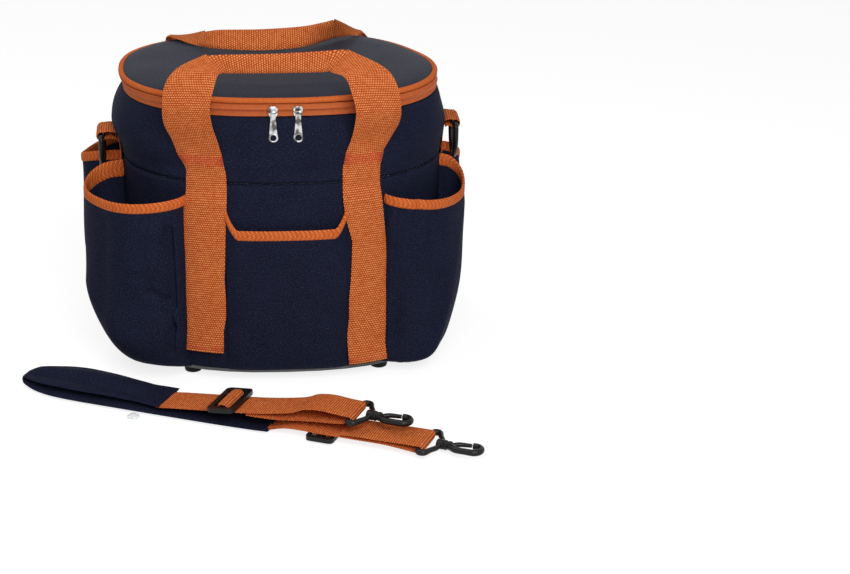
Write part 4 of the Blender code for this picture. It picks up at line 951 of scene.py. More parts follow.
for (face_name, hand), strap_foot in STRAP_FEET.items():
    front = face_name == "front"
    side = -1 if hand == "left" else 1
    strap_rows = np.linspace(strap_foot, STITCH_LINE + 0.0006, round((STITCH_LINE - strap_foot) / RIB * 4))
    shares = np.linspace(0.0, 1.0, 13)[None]
    across = strap_place(face_name, hand, strap_rows[:, None], shares if front else 1 - shares)
    lifted = strap_lift(strap_rows, strap_foot, front)[:, None]
    route = np.stack([strap_rows * 0 + side, strap_rows, strap_rows], -1)
    waves = ripple(route, (1.0, 1.0, 0.03), 0.0007, 3.0)
    bow = LIE + lifted + np.maximum(waves, 0.0)[:, None]
    middle = body_strip(across, strap_rows, bow, front)
    fit(band(f"{face_name}_strap_{hand}_webbing", middle, webbing), "bag", "orange_webbing",
        f"{face_name}_strap_{hand}")


# Handles: each is one length of the webbing that leaves its straps at the stitching, bends in
# to the middle, and is folded and sewn there into a grip. The back one lies over the lid.
# Each pair of places is the webbing's two edges, the outer first.
FRONT_LEGS = (
    (((-0.1045, -0.1100, 0.238), (-0.0625, -0.1205, 0.238)),
     ((-0.1110, -0.1200, 0.256), (-0.0670, -0.1300, 0.256)),
     ((-0.1120, -0.1270, 0.275), (-0.0690, -0.1360, 0.275)),
     ((-0.1090, -0.1270, 0.295), (-0.0650, -0.1330, 0.293)),
     ((-0.0970, -0.1225, 0.3095), (-0.0610, -0.1260, 0.3030)),
     ((-0.0715, -0.1195, 0.3212), (-0.0570, -0.1195, 0.3026))),
    (((0.0985, -0.1100, 0.238), (0.0600, -0.1205, 0.238)),
     ((0.1045, -0.1200, 0.254), (0.0625, -0.1300, 0.254)),
     ((0.1055, -0.1265, 0.269), (0.0635, -0.1355, 0.270)),
     ((0.1025, -0.1265, 0.289), (0.0600, -0.1330, 0.285)),
     ((0.0905, -0.1225, 0.307), (0.0540, -0.1260, 0.2990)),
     ((0.0570, -0.1195, 0.3238), (0.0410, -0.1195, 0.3026))))
BACK_LEGS = (
    (((-0.0985, 0.1110, 0.240), (-0.0600, 0.1215, 0.240)),
     ((-0.1100, 0.1040, 0.261), (-0.0850, 0.1260, 0.261)),
     ((-0.1095, 0.0860, 0.2790), (-0.1050, 0.1140, 0.2725)),
     ((-0.0985, 0.0680, 0.2820), (-0.0985, 0.0935, 0.2790)),
     ((-0.0865, 0.0505, 0.2825), (-0.0864, 0.0760, 0.2852)),
     ((-0.0739, 0.0391, 0.2825), (-0.0716, 0.0560, 0.2940))),
    (((0.0985, 0.1110, 0.240), (0.0600, 0.1215, 0.240)),
     ((0.0975, 0.1080, 0.260), (0.0730, 0.1290, 0.260)),
     ((0.0870, 0.1030, 0.2752), (0.0860, 0.1270, 0.2700)),
     ((0.0792, 0.0820, 0.2800), (0.0759, 0.0950, 0.2834)),
     ((0.0687, 0.0712, 0.2823), (0.0645, 0.0640, 0.2975)),
     ((0.0546, 0.0618, 0.2828), (0.0540, 0.0440, 0.3075))))
GRIP_THICKNESS = 0.0046
HANDLE_CUP = 0.0014
FRONT_GRIP = (((-0.0735, -0.1186, 0.3188), (-0.0580, -0.1186, 0.3034)),
              ((-0.0640, -0.1188, 0.3199), (-0.0540, -0.1188, 0.3026)),
              ((-0.0500, -0.1190, 0.3202), (-0.0470, -0.1190, 0.3024)),
              ((-0.0080, -0.1192, 0.3206), (-0.0080, -0.1192, 0.3022)),
              ((0.0330, -0.1190, 0.3224), (0.0310, -0.1190, 0.3024)),
              ((0.0500, -0.1188, 0.3234), (0.0370, -0.1188, 0.3026)),
              ((0.0590, -0.1186, 0.3228), (0.0420, -0.1186, 0.3034)))
BACK_GRIP = (((-0.0790, 0.0440, 0.2825), (-0.0730, 0.0540, 0.2930)),
             ((-0.0690, 0.0355, 0.2825), (-0.0670, 0.0440, 0.2968)),
             ((-0.0560, 0.0300, 0.2825), (-0.0560, 0.0400, 0.2990)),
             ((-0.0190, 0.0235, 0.2825), (-0.0185, 0.0400, 0.2990)),
             ((0.0200, 0.0310, 0.2828), (0.0205, 0.0400, 0.3012)),
             ((0.0420, 0.0490, 0.2830), (0.0410, 0.0425, 0.3040)),
             ((0.0560, 0.0620, 0.2835), (0.0530, 0.0450, 0.3062)))


def strap_top(face_name, hand, share):
    """An edge of a sewn strap, at the stitching where the handle leaves it."""
    x = strap_place(face_name, hand, STITCH_LINE, share)
    return tuple(body_strip([x], [STITCH_LINE + 0.0006], LIE, face_name == "front")[0, 0])


for face_name, legs, grip in (("front", FRONT_LEGS, FRONT_GRIP), ("back", BACK_LEGS, BACK_GRIP)):
    front = face_name == "front"
    for hand, side, leg in (("left", -1, legs[0]), ("right", 1, legs[1])):
        outer = 0.0 if hand == "left" else 1.0
        stations = [(strap_top(face_name, hand, outer), strap_top(face_name, hand, 1 - outer)), *leg]
        middle = ruled(stations)
        ease = np.clip(1 - lengths(middle[:, 5]) / 0.03, 0.0, 1.0)[:, None]
        cup = (1 - np.linspace(-1.0, 1.0, 11) ** 2)[None]
        middle[..., 1] += (-1 if front else 1) * HANDLE_CUP * ease * cup
        if side * (1 if front else -1) < 0:
            middle = middle[:, ::-1]
        fit(band(f"{face_name}_handle_{hand}", middle, webbing), f"{face_name}_handle", "orange_webbing")
    held = ruled(grip)
    fit(band(f"{face_name}_handle_grip", held, webbing, thickness=GRIP_THICKNESS, squareness=4.0, even=True),
        f"{face_name}_handle", "orange_webbing", f"{face_name}_handle")


# Bar tacks: close rows of stitches where each strap is sewn down, at the top and at the foot.
TACK_THREAD = 0.0007
tack_thread = moulded_material("tack_thread", (0.42, 0.050, 0.012), 0.6, grain=0.05)
for (face_name, hand), strap_foot in STRAP_FEET.items():
    front = face_name == "front"
    shares = np.linspace(0.03, 0.97, 24)
    rows = []
    for start, count in ((STITCH_LINE - 0.0100, 12), (strap_foot + 0.0030, 4)):
        for row in range(count):
            level = start + row * TACK_THREAD * 1.15
            across = strap_place(face_name, hand, level, shares)
            lift = strap_lift(level, strap_foot, front)
            rows.append(body_strip(across, [level], LIE + lift + WEBBING / 2, front)[0])
    fit(beads(f"{face_name}_tack_{hand}", rows, 0.0030, (0.0030, TACK_THREAD, 0.0006), tack_thread),
        "bag", "orange_webbing")


# Side straps: the webbing runs up each side, through a D-ring and back behind itself. The
# D-rings are black and hang from their bars.
GATHERED = 0.12
RING_ARC = 0.008
side_bar = {}
for hand, side in (("left", -1), ("right", 1)):
    ring_low, ring_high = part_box(f"d_ring_{hand}")
    ring_wire = (ring_high.x - ring_low.x) / 2 + 0.0002
    bar_x = abs(ring_low.x + ring_high.x) / 2
    bar_z = ring_high.z - (ring_high.x - ring_low.x) / 2
    side_bar[hand] = (bar_x, bar_z, ring_wire)
    turn_angle = np.radians(np.linspace(105.0, -105.0, 11))
    round_bar = ring_wire + 0.0016
    low_out = LIE + OVER_POCKET
    face = [(base_size.x + low_out, 0.0, 0.012), (base_size.x + low_out + 0.0006, 0.0, 0.060),
            (wall_size.x + low_out - 0.0004, 0.0, 0.130), (wall_size.x + low_out, 0.0, POCKET_TOP - 0.008),
            (wall_size.x + LIE + 0.0006, 0.0, wall_size.z),
            (wall_size.x + LIE + 0.0030, 0.0, bar_z + 0.0014),
            (wall_size.x + LIE + 0.0060, 0.0, bar_z + 0.0042), (bar_x - 0.0060, 0.0, bar_z + 0.0048)]
    face += [(bar_x + round_bar * math.cos(a), 0.0, bar_z + round_bar * math.sin(a)) for a in turn_angle]
    face += [(bar_x - 0.0068, 0.0, bar_z - 0.0016), (wall_size.x + LIE + 0.0040, 0.0, bar_z - 0.0026)]
    route = spline([(side * x, y, z) for x, y, z in face], RIB / 4)
    middle = np.repeat(route[:, None], 13, axis=1)
    gathered = np.clip((np.abs(route[:, 0]) - wall_size.x - 0.004) / 0.006, 0.0, 1.0)[:, None]
    middle[..., 1] = np.linspace(WEB_WIDTH / 2, -WEB_WIDTH / 2, 13) * side * (1 - GATHERED * gathered)
    hug = np.clip((wall_size.z - route[:, 2]) / 0.02, 0.0, 1.0)[:, None]
    middle[..., 0] -= side * hug * 0.0009 * np.linspace(-1.0, 1.0, 13) ** 2
    fit(band(f"side_strap_{hand}_webbing", middle, webbing), "bag", "orange_webbing", f"side_strap_{hand}")

plastic = moulded_material("black_plastic", (0.0030, 0.0030, 0.0034), 0.34, grain=0.10, specular=0.24)
for hand, side in (("left", -1), ("right", 1)):
    bar_x, bar_z, ring_wire = side_bar[hand]
    ring_low, ring_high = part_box(f"d_ring_{hand}")
    half = ring_high.y - ring_wire
    drop = bar_z - ring_low.z - ring_wire
    curve = [(half * math.cos(a), -RING_ARC - (drop - RING_ARC) * math.sin(a))
             for a in np.linspace(0.2, math.pi - 0.2, 10)]
    shape = [(0.0, 0.0), (half * 0.5, 0.0), (half - 0.0018, -0.0004), (half - 0.0002, -0.0030), *curve,
             (-half + 0.0002, -0.0030), (-half + 0.0018, -0.0004), (-half * 0.5, 0.0)]
    route = spline([(side * bar_x, y, bar_z + z) for y, z in shape], 0.0012, closed=True)
    fit(ring_tube(f"d_ring_{hand}_plastic", route, ring_wire, plastic, 16), f"d_ring_{hand}", "black_plastic",
        f"d_ring_{hand}")


# Pockets: bellied panels of the navy cloth round the body, each rim bound in folded tape. The
# left ones are fuller, and the right ones sag. Two lie flat between the straps.
PANEL_GAP = 0.0006
BINDING = 0.0034
BINDING_HEIGHT = 0.0100
CORNER_RIM = {"left": (0.1800, 0.1735, 0.1880), "right": (0.1775, 0.1660, 0.1890)}
CENTRE_RIMS = {"front": (0.1505, 0.0220), "back": (0.1750, 0.0)}
CENTRE_BELLY = (0.0060, 0.0075)
CENTRE_ROUNDING = 0.035
CENTRE_FOOT = 0.0026
CLIMB_WIDTH = 0.0135
POCKET_ROWS = 72
POCKET_RIPPLE = ((0.05, 0.05, 0.06), 0.0022)
STITCH_INSET = 0.0018


def belly(height, widest, at_rim, rim, rounding, fullness):
    """How far a pocket stands out: rounded below, nearly straight above."""
    lean = np.clip(1 - height / rounding, 0.0, 1.0)
    share = np.clip((height - rounding) / (rim - rounding), 0.0, 1.0)
    return (widest + (at_rim - widest) * share) * (1 - lean ** fullness[0]) ** fullness[1]


def pocket(name, angles, rims, spread, rounding, fullness, bellies, foot, seed, creases=(), by_strap=0,
           tape=BINDING_HEIGHT):
    """A pocket's panel and the bound rim over its top edge.

    Creases are measured from the column by the strap. Tape is the height of the binding.
    """
    tape = np.broadcast_to(tape, rims.shape)
    panel_rows = np.linspace(0.0, 1.0, POCKET_ROWS)[:, None]
    shown = np.flatnonzero(spread >= 0.0)
    spread = np.maximum(spread, 0.0)
    top = rims - BINDING_HEIGHT * 0.5
    heights = foot + (top - foot) * panel_rows
    out = PANEL_GAP + CLOTH + spread * belly(heights - foot, *bellies, rims, rounding, fullness)
    plain = wall(angles, heights, out)
    round_place = lengths(plain[40])
    round_place = np.abs(round_place - round_place[by_strap])[None] + 0.0 * heights
    soft = np.clip(spread * 3, 0.0, 1.0)
    out = out + ripple(plain, *POCKET_RIPPLE, seed) * soft
    for start, end, width, depth in creases:
        out = out + crease(round_place, heights, start, end, width, depth) * soft
    shaped = wall(angles, heights, out)
    panel = skin(f"{name}_panel", shaped, navy_cloth, thickness=CLOTH)
    fit(panel, "bag", "navy_polyester", f"{name}_pocket")
    share = np.linspace(-0.5, 0.5, 11)[None]
    edge_out = out[-1, shown][:, None] - CLOTH / 2
    level = (rims - tape / 2)[shown][:, None] + share * tape[shown][:, None]
    folded = wall(angles[shown][:, None], level, edge_out)
    dense = spline(folded.reshape(len(shown), -1), 0.0012).reshape(-1, 11, 3)
    bound = band(f"{name}_binding_tape", dense[:, ::-1], binding_tape, thickness=BINDING, rib=0.0,
                 squareness=3.0)
    fit(bound, "bag", "orange_binding", f"{name}_binding")
    sewn = wall(angles, rims - tape + STITCH_INSET, out[-1] - CLOTH / 2 + BINDING / 2 - 0.0002)[shown]
    fit(beads(f"{name}_stitches", [sewn[2:-2]], STITCH_PITCH, STITCH_SIZE, thread), "bag", "orange_binding")


# How far each stands out at its widest and at its rim, its foot's height, and its creases: start,
# end, width and depth.
CORNER_POCKETS = {
    ("front", "left"): ((0.0481, 0.0438), 0.0029,
                        (((0.022, 0.072), (0.024, 0.150), 0.0045, 0.0075),
                         ((0.030, 0.080), (0.023, 0.050), 0.0035, 0.0055),
                         ((0.030, 0.080), (0.042, 0.088), 0.0040, 0.0045),
                         ((0.023, 0.050), (0.024, 0.026), 0.0040, 0.0055),
                         ((0.036, 0.112), (0.034, 0.150), 0.0085, -0.0045),
                         ((0.100, 0.060), (0.094, 0.150), 0.0120, 0.0028))),
    ("front", "right"): ((0.0287, 0.0268), -0.0064,
                         (((0.014, 0.020), (0.020, 0.160), 0.006, 0.0050),
                          ((0.024, 0.090), (0.036, 0.165), 0.005, 0.0032),
                          ((0.060, 0.040), (0.052, 0.150), 0.008, 0.0036))),
    ("back", "left"): ((0.052, 0.051), 0.0020, (((0.030, 0.040), (0.034, 0.150), 0.008, 0.0042),)),
    ("back", "right"): ((0.032, 0.030), -0.0040, (((0.026, 0.040), (0.030, 0.150), 0.008, 0.0042),))}
CORNER_ROUNDING = {"left": (0.037, 0.075), "right": (0.019, 0.153)}
CORNER_FULLNESS = {"left": (1.44, 0.68), "right": (2.47, 0.55)}
HELD_FOOT = 0.0020
STRAP_LAP = 0.0010
LOW_POINT = 0.7
BACK_RAISE = {"left": -0.0025, "right": 0.0010}
RING_TAPE = {("front", "left"): 0.0080, ("front", "right"): 0.0030,
             ("back", "left"): 0.0, ("back", "right"): 0.0}

for (face_name, hand), (bellies, foot, creases) in CORNER_POCKETS.items():
    front = face_name == "front"
    side = -1 if hand == "left" else 1
    start = float(angle_at(side * (STRAP_MIDDLE + WEB_WIDTH / 2 - STRAP_LAP), front))
    tuck = float(angle_at(side * STRAP_MIDDLE, front))
    tilt = (WEB_WIDTH / 2 - STRAP_LAP) * (-1 if front else 1)
    end = math.asin(math.copysign((abs(tilt) / wall_size.y) ** (ROUNDNESS / 2), tilt))
    side_middle = 0.0
    if side < 0:
        end = math.pi - end
        side_middle = math.pi
        if front:
            end -= 2 * math.pi
            side_middle -= 2 * math.pi
    places = np.concatenate([np.linspace(-1.0, -0.1, 8), np.linspace(0.0, 1.0, 140),
                             np.linspace(1.1, 2.0, 8)])
    angles = np.interp(places, (-1.0, 0.0, 1.0, 2.0), (tuck, start, end, side_middle))
    shares = np.clip(places, 0.0, 1.0)
    near_strap = np.sqrt(np.sin(math.pi * np.minimum(shares, 0.5)))
    near_side = np.sqrt(1 - np.clip(2 * shares - 1, 0.0, 1.0) ** 5)
    spread = np.where(np.abs(places - 0.5) <= 0.5, near_strap * near_side, -1.0)
    turn = eased(np.clip((shares - 0.3) / 0.5, 0.0, 1.0))
    rounding = CORNER_ROUNDING[hand][0] + (CORNER_ROUNDING[hand][1] - CORNER_ROUNDING[hand][0]) * turn
    fullness = [2.0 + (CORNER_FULLNESS[hand][0] - 2.0) * turn, 0.5 + (CORNER_FULLNESS[hand][1] - 0.5) * turn]
    at_strap, dip, at_ring = CORNER_RIM[hand]
    free = np.clip(np.minimum(shares, 1 - shares) / 0.25, 0.0, 1.0)
    foot_line = HELD_FOOT + (foot - HELD_FOOT) * eased(free)
    rims = at_strap + (dip - at_strap) * np.sin(np.minimum(shares / LOW_POINT, 1.0) * math.pi / 2)
    rims = rims + (at_ring - dip) * (np.maximum(shares - LOW_POINT, 0.0) / (1 - LOW_POINT)) ** 2
    rims = rims + (0.0 if front else BACK_RAISE[hand])
    tape = BINDING_HEIGHT + RING_TAPE[face_name, hand] * np.clip((shares - 0.72) / 0.2, 0.0, 1.0)
    by_strap = 8
    if side * (1 if front else -1) < 0:
        angles = angles[::-1]
        rims = rims[::-1]
        spread = spread[::-1]
        rounding = rounding[::-1]
        fullness = [share[::-1] for share in fullness]
        tape = tape[::-1]
        foot_line = foot_line[::-1]
        by_strap = -9
    pocket(f"{face_name}_{hand}", angles, rims, spread, rounding, fullness, bellies, foot_line,
           11.0 + side + 3 * front, creases, by_strap, tape)

for face_name, (rim_height, climb) in CENTRE_RIMS.items():
    front = face_name == "front"
    half = STRAP_MIDDLE - WEB_WIDTH / 2 + STRAP_LAP
    places = np.concatenate([np.linspace(-STRAP_MIDDLE, -half - 0.002, 8), np.linspace(-half, half, 101),
                             np.linspace(half + 0.002, STRAP_MIDDLE, 8)]) * (1 if front else -1)
    from_edge = half - np.abs(places)
    angles = np.array([float(angle_at(x, front)) for x in places])
    rims = rim_height + climb * np.clip(1 - from_edge / CLIMB_WIDTH, 0.0, 1.0) ** 1.6
    spread = np.where(from_edge < -0.001, -1.0, np.clip(from_edge / 0.012, 0.0, 1.0) ** 0.5)
    pocket(f"{face_name}_centre", angles, rims, spread, CENTRE_ROUNDING, (2.0, 0.5), CENTRE_BELLY,
           CENTRE_FOOT, 21.0 + front)


# Zip sliders: chrome, each with a bail on its face and a flat pull with a ring end.
def chrome_material():
    """Polished plating with painted dark reflections in its colour, and fine scratches."""
    material, tree, shader, relief = new_material("chrome", bump=0.08, depth=0.0001, metallic=1.0)
    place = node(tree, "ShaderNodeTexCoord").outputs["Object"]
    slow = node(tree, "ShaderNodeTexNoise", {"Vector": place, "Scale": 150.0, "Detail": 1.0})
    fine = node(tree, "ShaderNodeTexNoise", {"Vector": place, "Scale": 2500.0, "Detail": 2.0})
    patch = node(tree, "ShaderNodeMapRange", {0: slow.outputs["Fac"], 1: 0.44, 2: 0.58})
    tone = mixed(tree, patch.outputs[0], (0.62, 0.62, 0.63, 1.0), (0.11, 0.105, 0.09, 1.0))
    tree.links.new(tone, shader.inputs["Base Color"])
    tree.links.new(calc(tree, "MULTIPLY_ADD", fine.outputs["Fac"], 0.16, 0.14), shader.inputs["Roughness"])
    tree.links.new(fine.outputs["Fac"], relief.inputs["Height"])
    return material


chrome = chrome_material()


def cut_plate(name, loops, thickness, rounding, material, axes, place):
    """A flat plate from closed outlines, the later ones cut out of it.

    Its first two axes hold the outlines, and the plate lies about its place.
    """
    curve = bpy.data.curves.new(f"{name}_outline", "CURVE")
    curve.dimensions = "2D"
    curve.fill_mode = "BOTH"
    curve.extrude = thickness / 2
    for loop in loops:
        path = curve.splines.new("POLY")
        path.points.add(len(loop) - 1)
        for point, (x, y) in zip(path.points, loop):
            point.co = (x, y, 0.0, 1.0)
        path.use_cyclic_u = True
    source = bpy.data.objects.new(f"{name}_outline", curve)
    scene.collection.objects.link(source)
    bpy.context.view_layer.update()
    mesh = bpy.data.meshes.new_from_object(source.evaluated_get(bpy.context.evaluated_depsgraph_get()))
    bpy.data.objects.remove(source, do_unlink=True)
    mesh.name = name
    one, two = Vector(axes[0]), Vector(axes[1])
    mesh.transform(Matrix.Translation(place) @ Matrix((one, two, one.cross(two))).transposed().to_4x4())
    mesh.materials.clear()
    mesh.materials.append(material)
    piece = bpy.data.objects.new(name, mesh)
    scene.collection.objects.link(piece)
    merged(piece)
    mesh.shade_smooth()
    mesh.set_sharp_from_angle(angle=math.radians(35.0))
    edges = piece.modifiers.new("edges", "BEVEL")
    edges.width = rounding
    edges.segments = 2
    edges.limit_method = "ANGLE"
    return piece


def arc(centre, radius, start, end, steps):
    """Points round a centre, from one angle to another in degrees."""
    turn = np.radians(np.linspace(start, end, steps))
    return [(centre[0] + radius * math.cos(a), centre[1] + radius * math.sin(a)) for a in turn]


def rounded_box(width, height, radius, middle=0.0):
    """The outline of a box with round corners."""
    corners = ((1, 1, 0), (-1, 1, 90), (-1, -1, 180), (1, -1, 270))
    points = []
    for sx, sy, begin in corners:
        corner = (middle + sx * (width / 2 - radius), sy * (height / 2 - radius))
        points += arc(corner, radius, begin, begin + 90, 6)
    return points


UPRIGHT = ((1.0, 0.0, 0.0), (0.0, 0.0, 1.0))
SIDEWAYS = ((0.0, 1.0, 0.0), (0.0, 0.0, 1.0))
SLIDER_PLATE = 0.0016
LIP = (0.0016, 0.0007, 0.0012)
PULL_PLATE = 0.0012
PULL_EYE = (0.0011, 0.0046)
PULL_HOLE = 0.0029
PULL_RIM = 0.0008
BAIL = 0.0008
for hand in ("left", "right"):
    slider_low, slider_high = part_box(f"zip_slider_{hand}")
    pull_low, pull_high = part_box(f"zip_pull_{hand}")
    middle = (slider_low + slider_high) / 2
    bar_y = (pull_low.y + pull_high.y) / 2
    plate_y = slider_high.y - SLIDER_PLATE / 2
    half_width = (slider_high.x - slider_low.x) / 2
    half_height = (slider_high.z - slider_low.z) / 2
    shield = [(half_width * 0.98 * math.copysign(abs(math.cos(a)) ** 0.55, math.cos(a)),
               half_height * math.copysign(abs(math.sin(a)) ** 0.8, math.sin(a))) for a in
              np.linspace(0.0, 2 * math.pi, 40, endpoint=False)]
    plate = cut_plate(f"slider_{hand}_plate", [shield], SLIDER_PLATE, 0.0005, chrome, UPRIGHT,
                      (middle.x, plate_y, middle.z))
    fit(plate, f"zip_slider_{hand}", "chrome", f"zip_slider_{hand}")
    for end in (-1, 1):
        outline = rounded_box(half_width * 1.7, LIP[0], LIP[1])
        lip = cut_plate(f"slider_{hand}_lip_{end}", [outline], LIP[2], 0.0004, chrome, UPRIGHT,
                        (middle.x, plate_y - 0.0010, middle.z + end * (half_height - 0.0011)))
        fit(lip, f"zip_slider_{hand}", "chrome")
    reach = half_width - BAIL
    arch = [(-reach, plate_y), (-reach, (plate_y + bar_y) / 2), (-reach + 0.0009, bar_y), (0.0, bar_y),
            (reach - 0.0009, bar_y), (reach, (plate_y + bar_y) / 2), (reach, plate_y)]
    arch = spline([(middle.x + x, y, middle.z) for x, y in arch], 0.0003)
    bail = merged(skin(f"slider_{hand}_bail", tube_points(arch, BAIL, 12), chrome, closed=True))
    fit(bail, f"zip_slider_{hand}", "chrome")

    pull_place = (middle.x, bar_y, middle.z)
    around = arc((0.0, 0.0), pull_high.z - middle.z, 0, 348, 30)
    eye = cut_plate(f"pull_{hand}_eye", [around, arc((0.0, 0.0), PULL_EYE[0], 0, 345, 24)], PULL_EYE[1],
                    0.0003, chrome, SIDEWAYS, pull_place)
    fit(eye, f"zip_pull_{hand}", "chrome", f"zip_pull_{hand}")
    length = middle.z - pull_low.z
    wide = (pull_high.x - pull_low.x) / 2
    blade = [(0.0020, -0.0012), (0.0024, -0.0022), (0.0025, -0.0080), (wide * 0.82, -length + 0.0085)]
    blade += arc((0.0, -length + wide), wide, 18, -90, 14)
    blade += [(-x, z) for x, z in reversed(blade[:-1])]
    hole = arc((0.0, -length + wide), PULL_HOLE, 0, 345, 24)
    fit(cut_plate(f"pull_{hand}_blade", [blade, hole], PULL_PLATE, 0.0004, chrome, UPRIGHT, pull_place),
        f"zip_pull_{hand}", "chrome")
    rim = [(middle.x + x, bar_y, middle.z + z)
           for x, z in arc((0.0, -length + wide), PULL_HOLE + 0.0007, 0, 350, 36)]
    fit(ring_tube(f"pull_{hand}_rim", np.array(rim), PULL_RIM, chrome, 10), f"zip_pull_{hand}", "chrome")


# Shoulder strap: it lies folded on the floor in front of the bag. Its own frame has the
# distance from the fold, the distance across, and the height over the floor.
FOLD = (-0.252, -0.090)
STRAP_TURN = math.radians(-24.9)
SHIFT_RUN = (0.262, 0.300)
PAD = 0.0046
LOWER_SHIFT = -0.0065
UPPER_SHIFT = -0.0100
# Distance from the fold, height, half width, share of the thickness, and place across.
PAD_ROUTE = ((0.265, 0.0026, 0.0220, 0.7, -0.0065), (0.245, 0.0027, 0.0235, 0.9, -0.0065),
             (0.200, 0.0027, 0.0246, 1.0, -0.0065), (0.120, 0.0027, 0.0250, 1.0, -0.0065),
             (0.060, 0.0027, 0.0245, 0.95, -0.0065), (0.030, 0.0027, 0.0200, 0.80, -0.0060),
             (0.0090, 0.0033, 0.0105, 0.60, -0.0045), (0.0035, 0.0056, 0.0052, 0.50, -0.0030),
             (0.0085, 0.0080, 0.0105, 0.60, -0.0015), (0.028, 0.0094, 0.0205, 0.90, -0.0005),
             (0.060, 0.0100, 0.0250, 1.05, 0.0), (0.095, 0.0096, 0.0238, 1.0, -0.0015),
             (0.128, 0.0086, 0.0208, 0.85, -0.0040), (0.141, 0.0086, 0.0214, 0.65, -0.0050),
             (0.157, 0.0090, 0.0228, 0.60, -0.0065))
BAR_WRAP = 0.0034
UPPER_BAR = (0.3410, 0.0225)
LOWER_BAR = (0.4110, 0.0082)
LOWER_LEVEL = 0.0078
RETURN_DROP = 0.0021
RAMP_START = (0.170, 0.0105)
RAMP_RISE = 0.0123
RAMP_RUN = 0.120


def on_floor(points):
    """Places in the bag's frame, from (along, across, height) in the strap's."""
    p = np.asarray(points, float)
    cosine = math.cos(STRAP_TURN)
    sine = math.sin(STRAP_TURN)
    return np.stack([FOLD[0] + cosine * p[..., 0] - sine * p[..., 1],
                     FOLD[1] + sine * p[..., 0] + cosine * p[..., 1],
                     floor_level + p[..., 2]], axis=-1)


pad_rows = spline([(s, shift, h, w, t) for s, h, w, t, shift in PAD_ROUTE], 0.0022)
pad_share = np.linspace(-1.0, 1.0, 31)[None]
pad_middle = np.stack([pad_rows[:, :1] + 0.0 * pad_share, pad_rows[:, 1:2] + pad_rows[:, 3:4] * pad_share,
                       pad_rows[:, 2:3] + 0.0 * pad_share], axis=-1)
on_top = (np.arange(len(pad_rows)) > np.argmin(pad_rows[:, 0]))[:, None]
valley = crease(pad_middle[..., 0], pad_middle[..., 1], (0.020, -0.004), (0.125, -0.012), 0.006, 0.0026)
ridge = -crease(pad_middle[..., 0], pad_middle[..., 1], (0.015, 0.010), (0.120, 0.006), 0.008, 0.0018)
pad_middle[..., 2] += on_top * (valley + ridge + 0.0006)
pad_middle[..., 2] += ripple(pad_middle, (0.04, 0.02, 1.0), 0.0008, 31.0) * on_top
pad_piece = band("shoulder_pad_cloth", on_floor(pad_middle), navy_cloth, thickness=PAD * pad_rows[:, 4],
                 rib=0.0, squareness=3.0)
fit(pad_piece, "bag", "navy_polyester", "shoulder_pad")


def strip(name, route, shift_from, shift_to, replaced):
    """A length of webbing along (along, height) points; it moves over from one shift to another."""
    rows = spline([(s, float(np.interp(s, SHIFT_RUN, (shift_from, shift_to))), h) for s, h in route], RIB / 4)
    across = np.linspace(-WEB_WIDTH / 2, WEB_WIDTH / 2, 11)
    level = 0.0 * across
    middle = np.stack([rows[:, :1] + level, rows[:, 1:2] + across, rows[:, 2:3] + level], axis=-1)
    return fit(band(name, on_floor(middle), webbing), "bag", "orange_webbing", replaced)


def upper_level(along):
    """Height of the upper webbing where its adjuster runs on it."""
    return RAMP_START[1] + (along - RAMP_START[0]) * RAMP_RISE / RAMP_RUN


strip("upper_webbing",
      [(0.1535, 0.0090), (0.159, 0.0092),
       *[(along, upper_level(along)) for along in (0.170, 0.210, 0.250, 0.284)],
       (0.298, 0.0262), (0.313, 0.0278), (0.329, 0.0266), *arc(UPPER_BAR, BAR_WRAP, 85, -90, 8),
       (0.325, 0.0172), (0.300, 0.0150), (0.275, 0.0150), (0.256, 0.0158),
       (0.244, upper_level(0.244) - RETURN_DROP)],
      UPPER_SHIFT, 0.0, "shoulder_web_upper")
strip("lower_webbing",
      [(0.258, 0.0030), (0.266, 0.0036), *[(along, LOWER_LEVEL) for along in (0.285, 0.320, 0.350, 0.376)],
       (0.391, LOWER_LEVEL - 0.0010), *arc(LOWER_BAR, BAR_WRAP, -95, 90, 8),
       (0.398, 0.0116), (0.375, 0.0110), (0.350, 0.0108), (0.335, LOWER_LEVEL + RETURN_DROP)],
      LOWER_SHIFT, LOWER_SHIFT, "shoulder_web_lower")

stud_low, stud_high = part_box("pad_stud")
clear, _, clear_shader, _ = new_material("clear_stud", bump=0.02, roughness=0.12)
clear_shader.inputs["Base Color"].default_value = (0.75, 0.78, 0.78, 1.0)
clear_shader.inputs["Transmission Weight"].default_value = 0.8
stud_radius = (stud_high.x - stud_low.x) / 2
stud_points = turned(((0.0, 0.0), (stud_radius, 0.0), (stud_radius, 0.0008), (stud_radius * 0.9, 0.0019),
                      (stud_radius * 0.55, 0.0028), (0.0, 0.0031)), 36)
stud_points += ((stud_low.x + stud_high.x) / 2, (stud_low.y + stud_high.y) / 2, stud_low.z)
stud = merged(skin("pad_stud_clear", stud_points, clear, closed=True, smooth_angle=60.0))
fit(stud, "bag", "clear_plastic", "pad_stud")


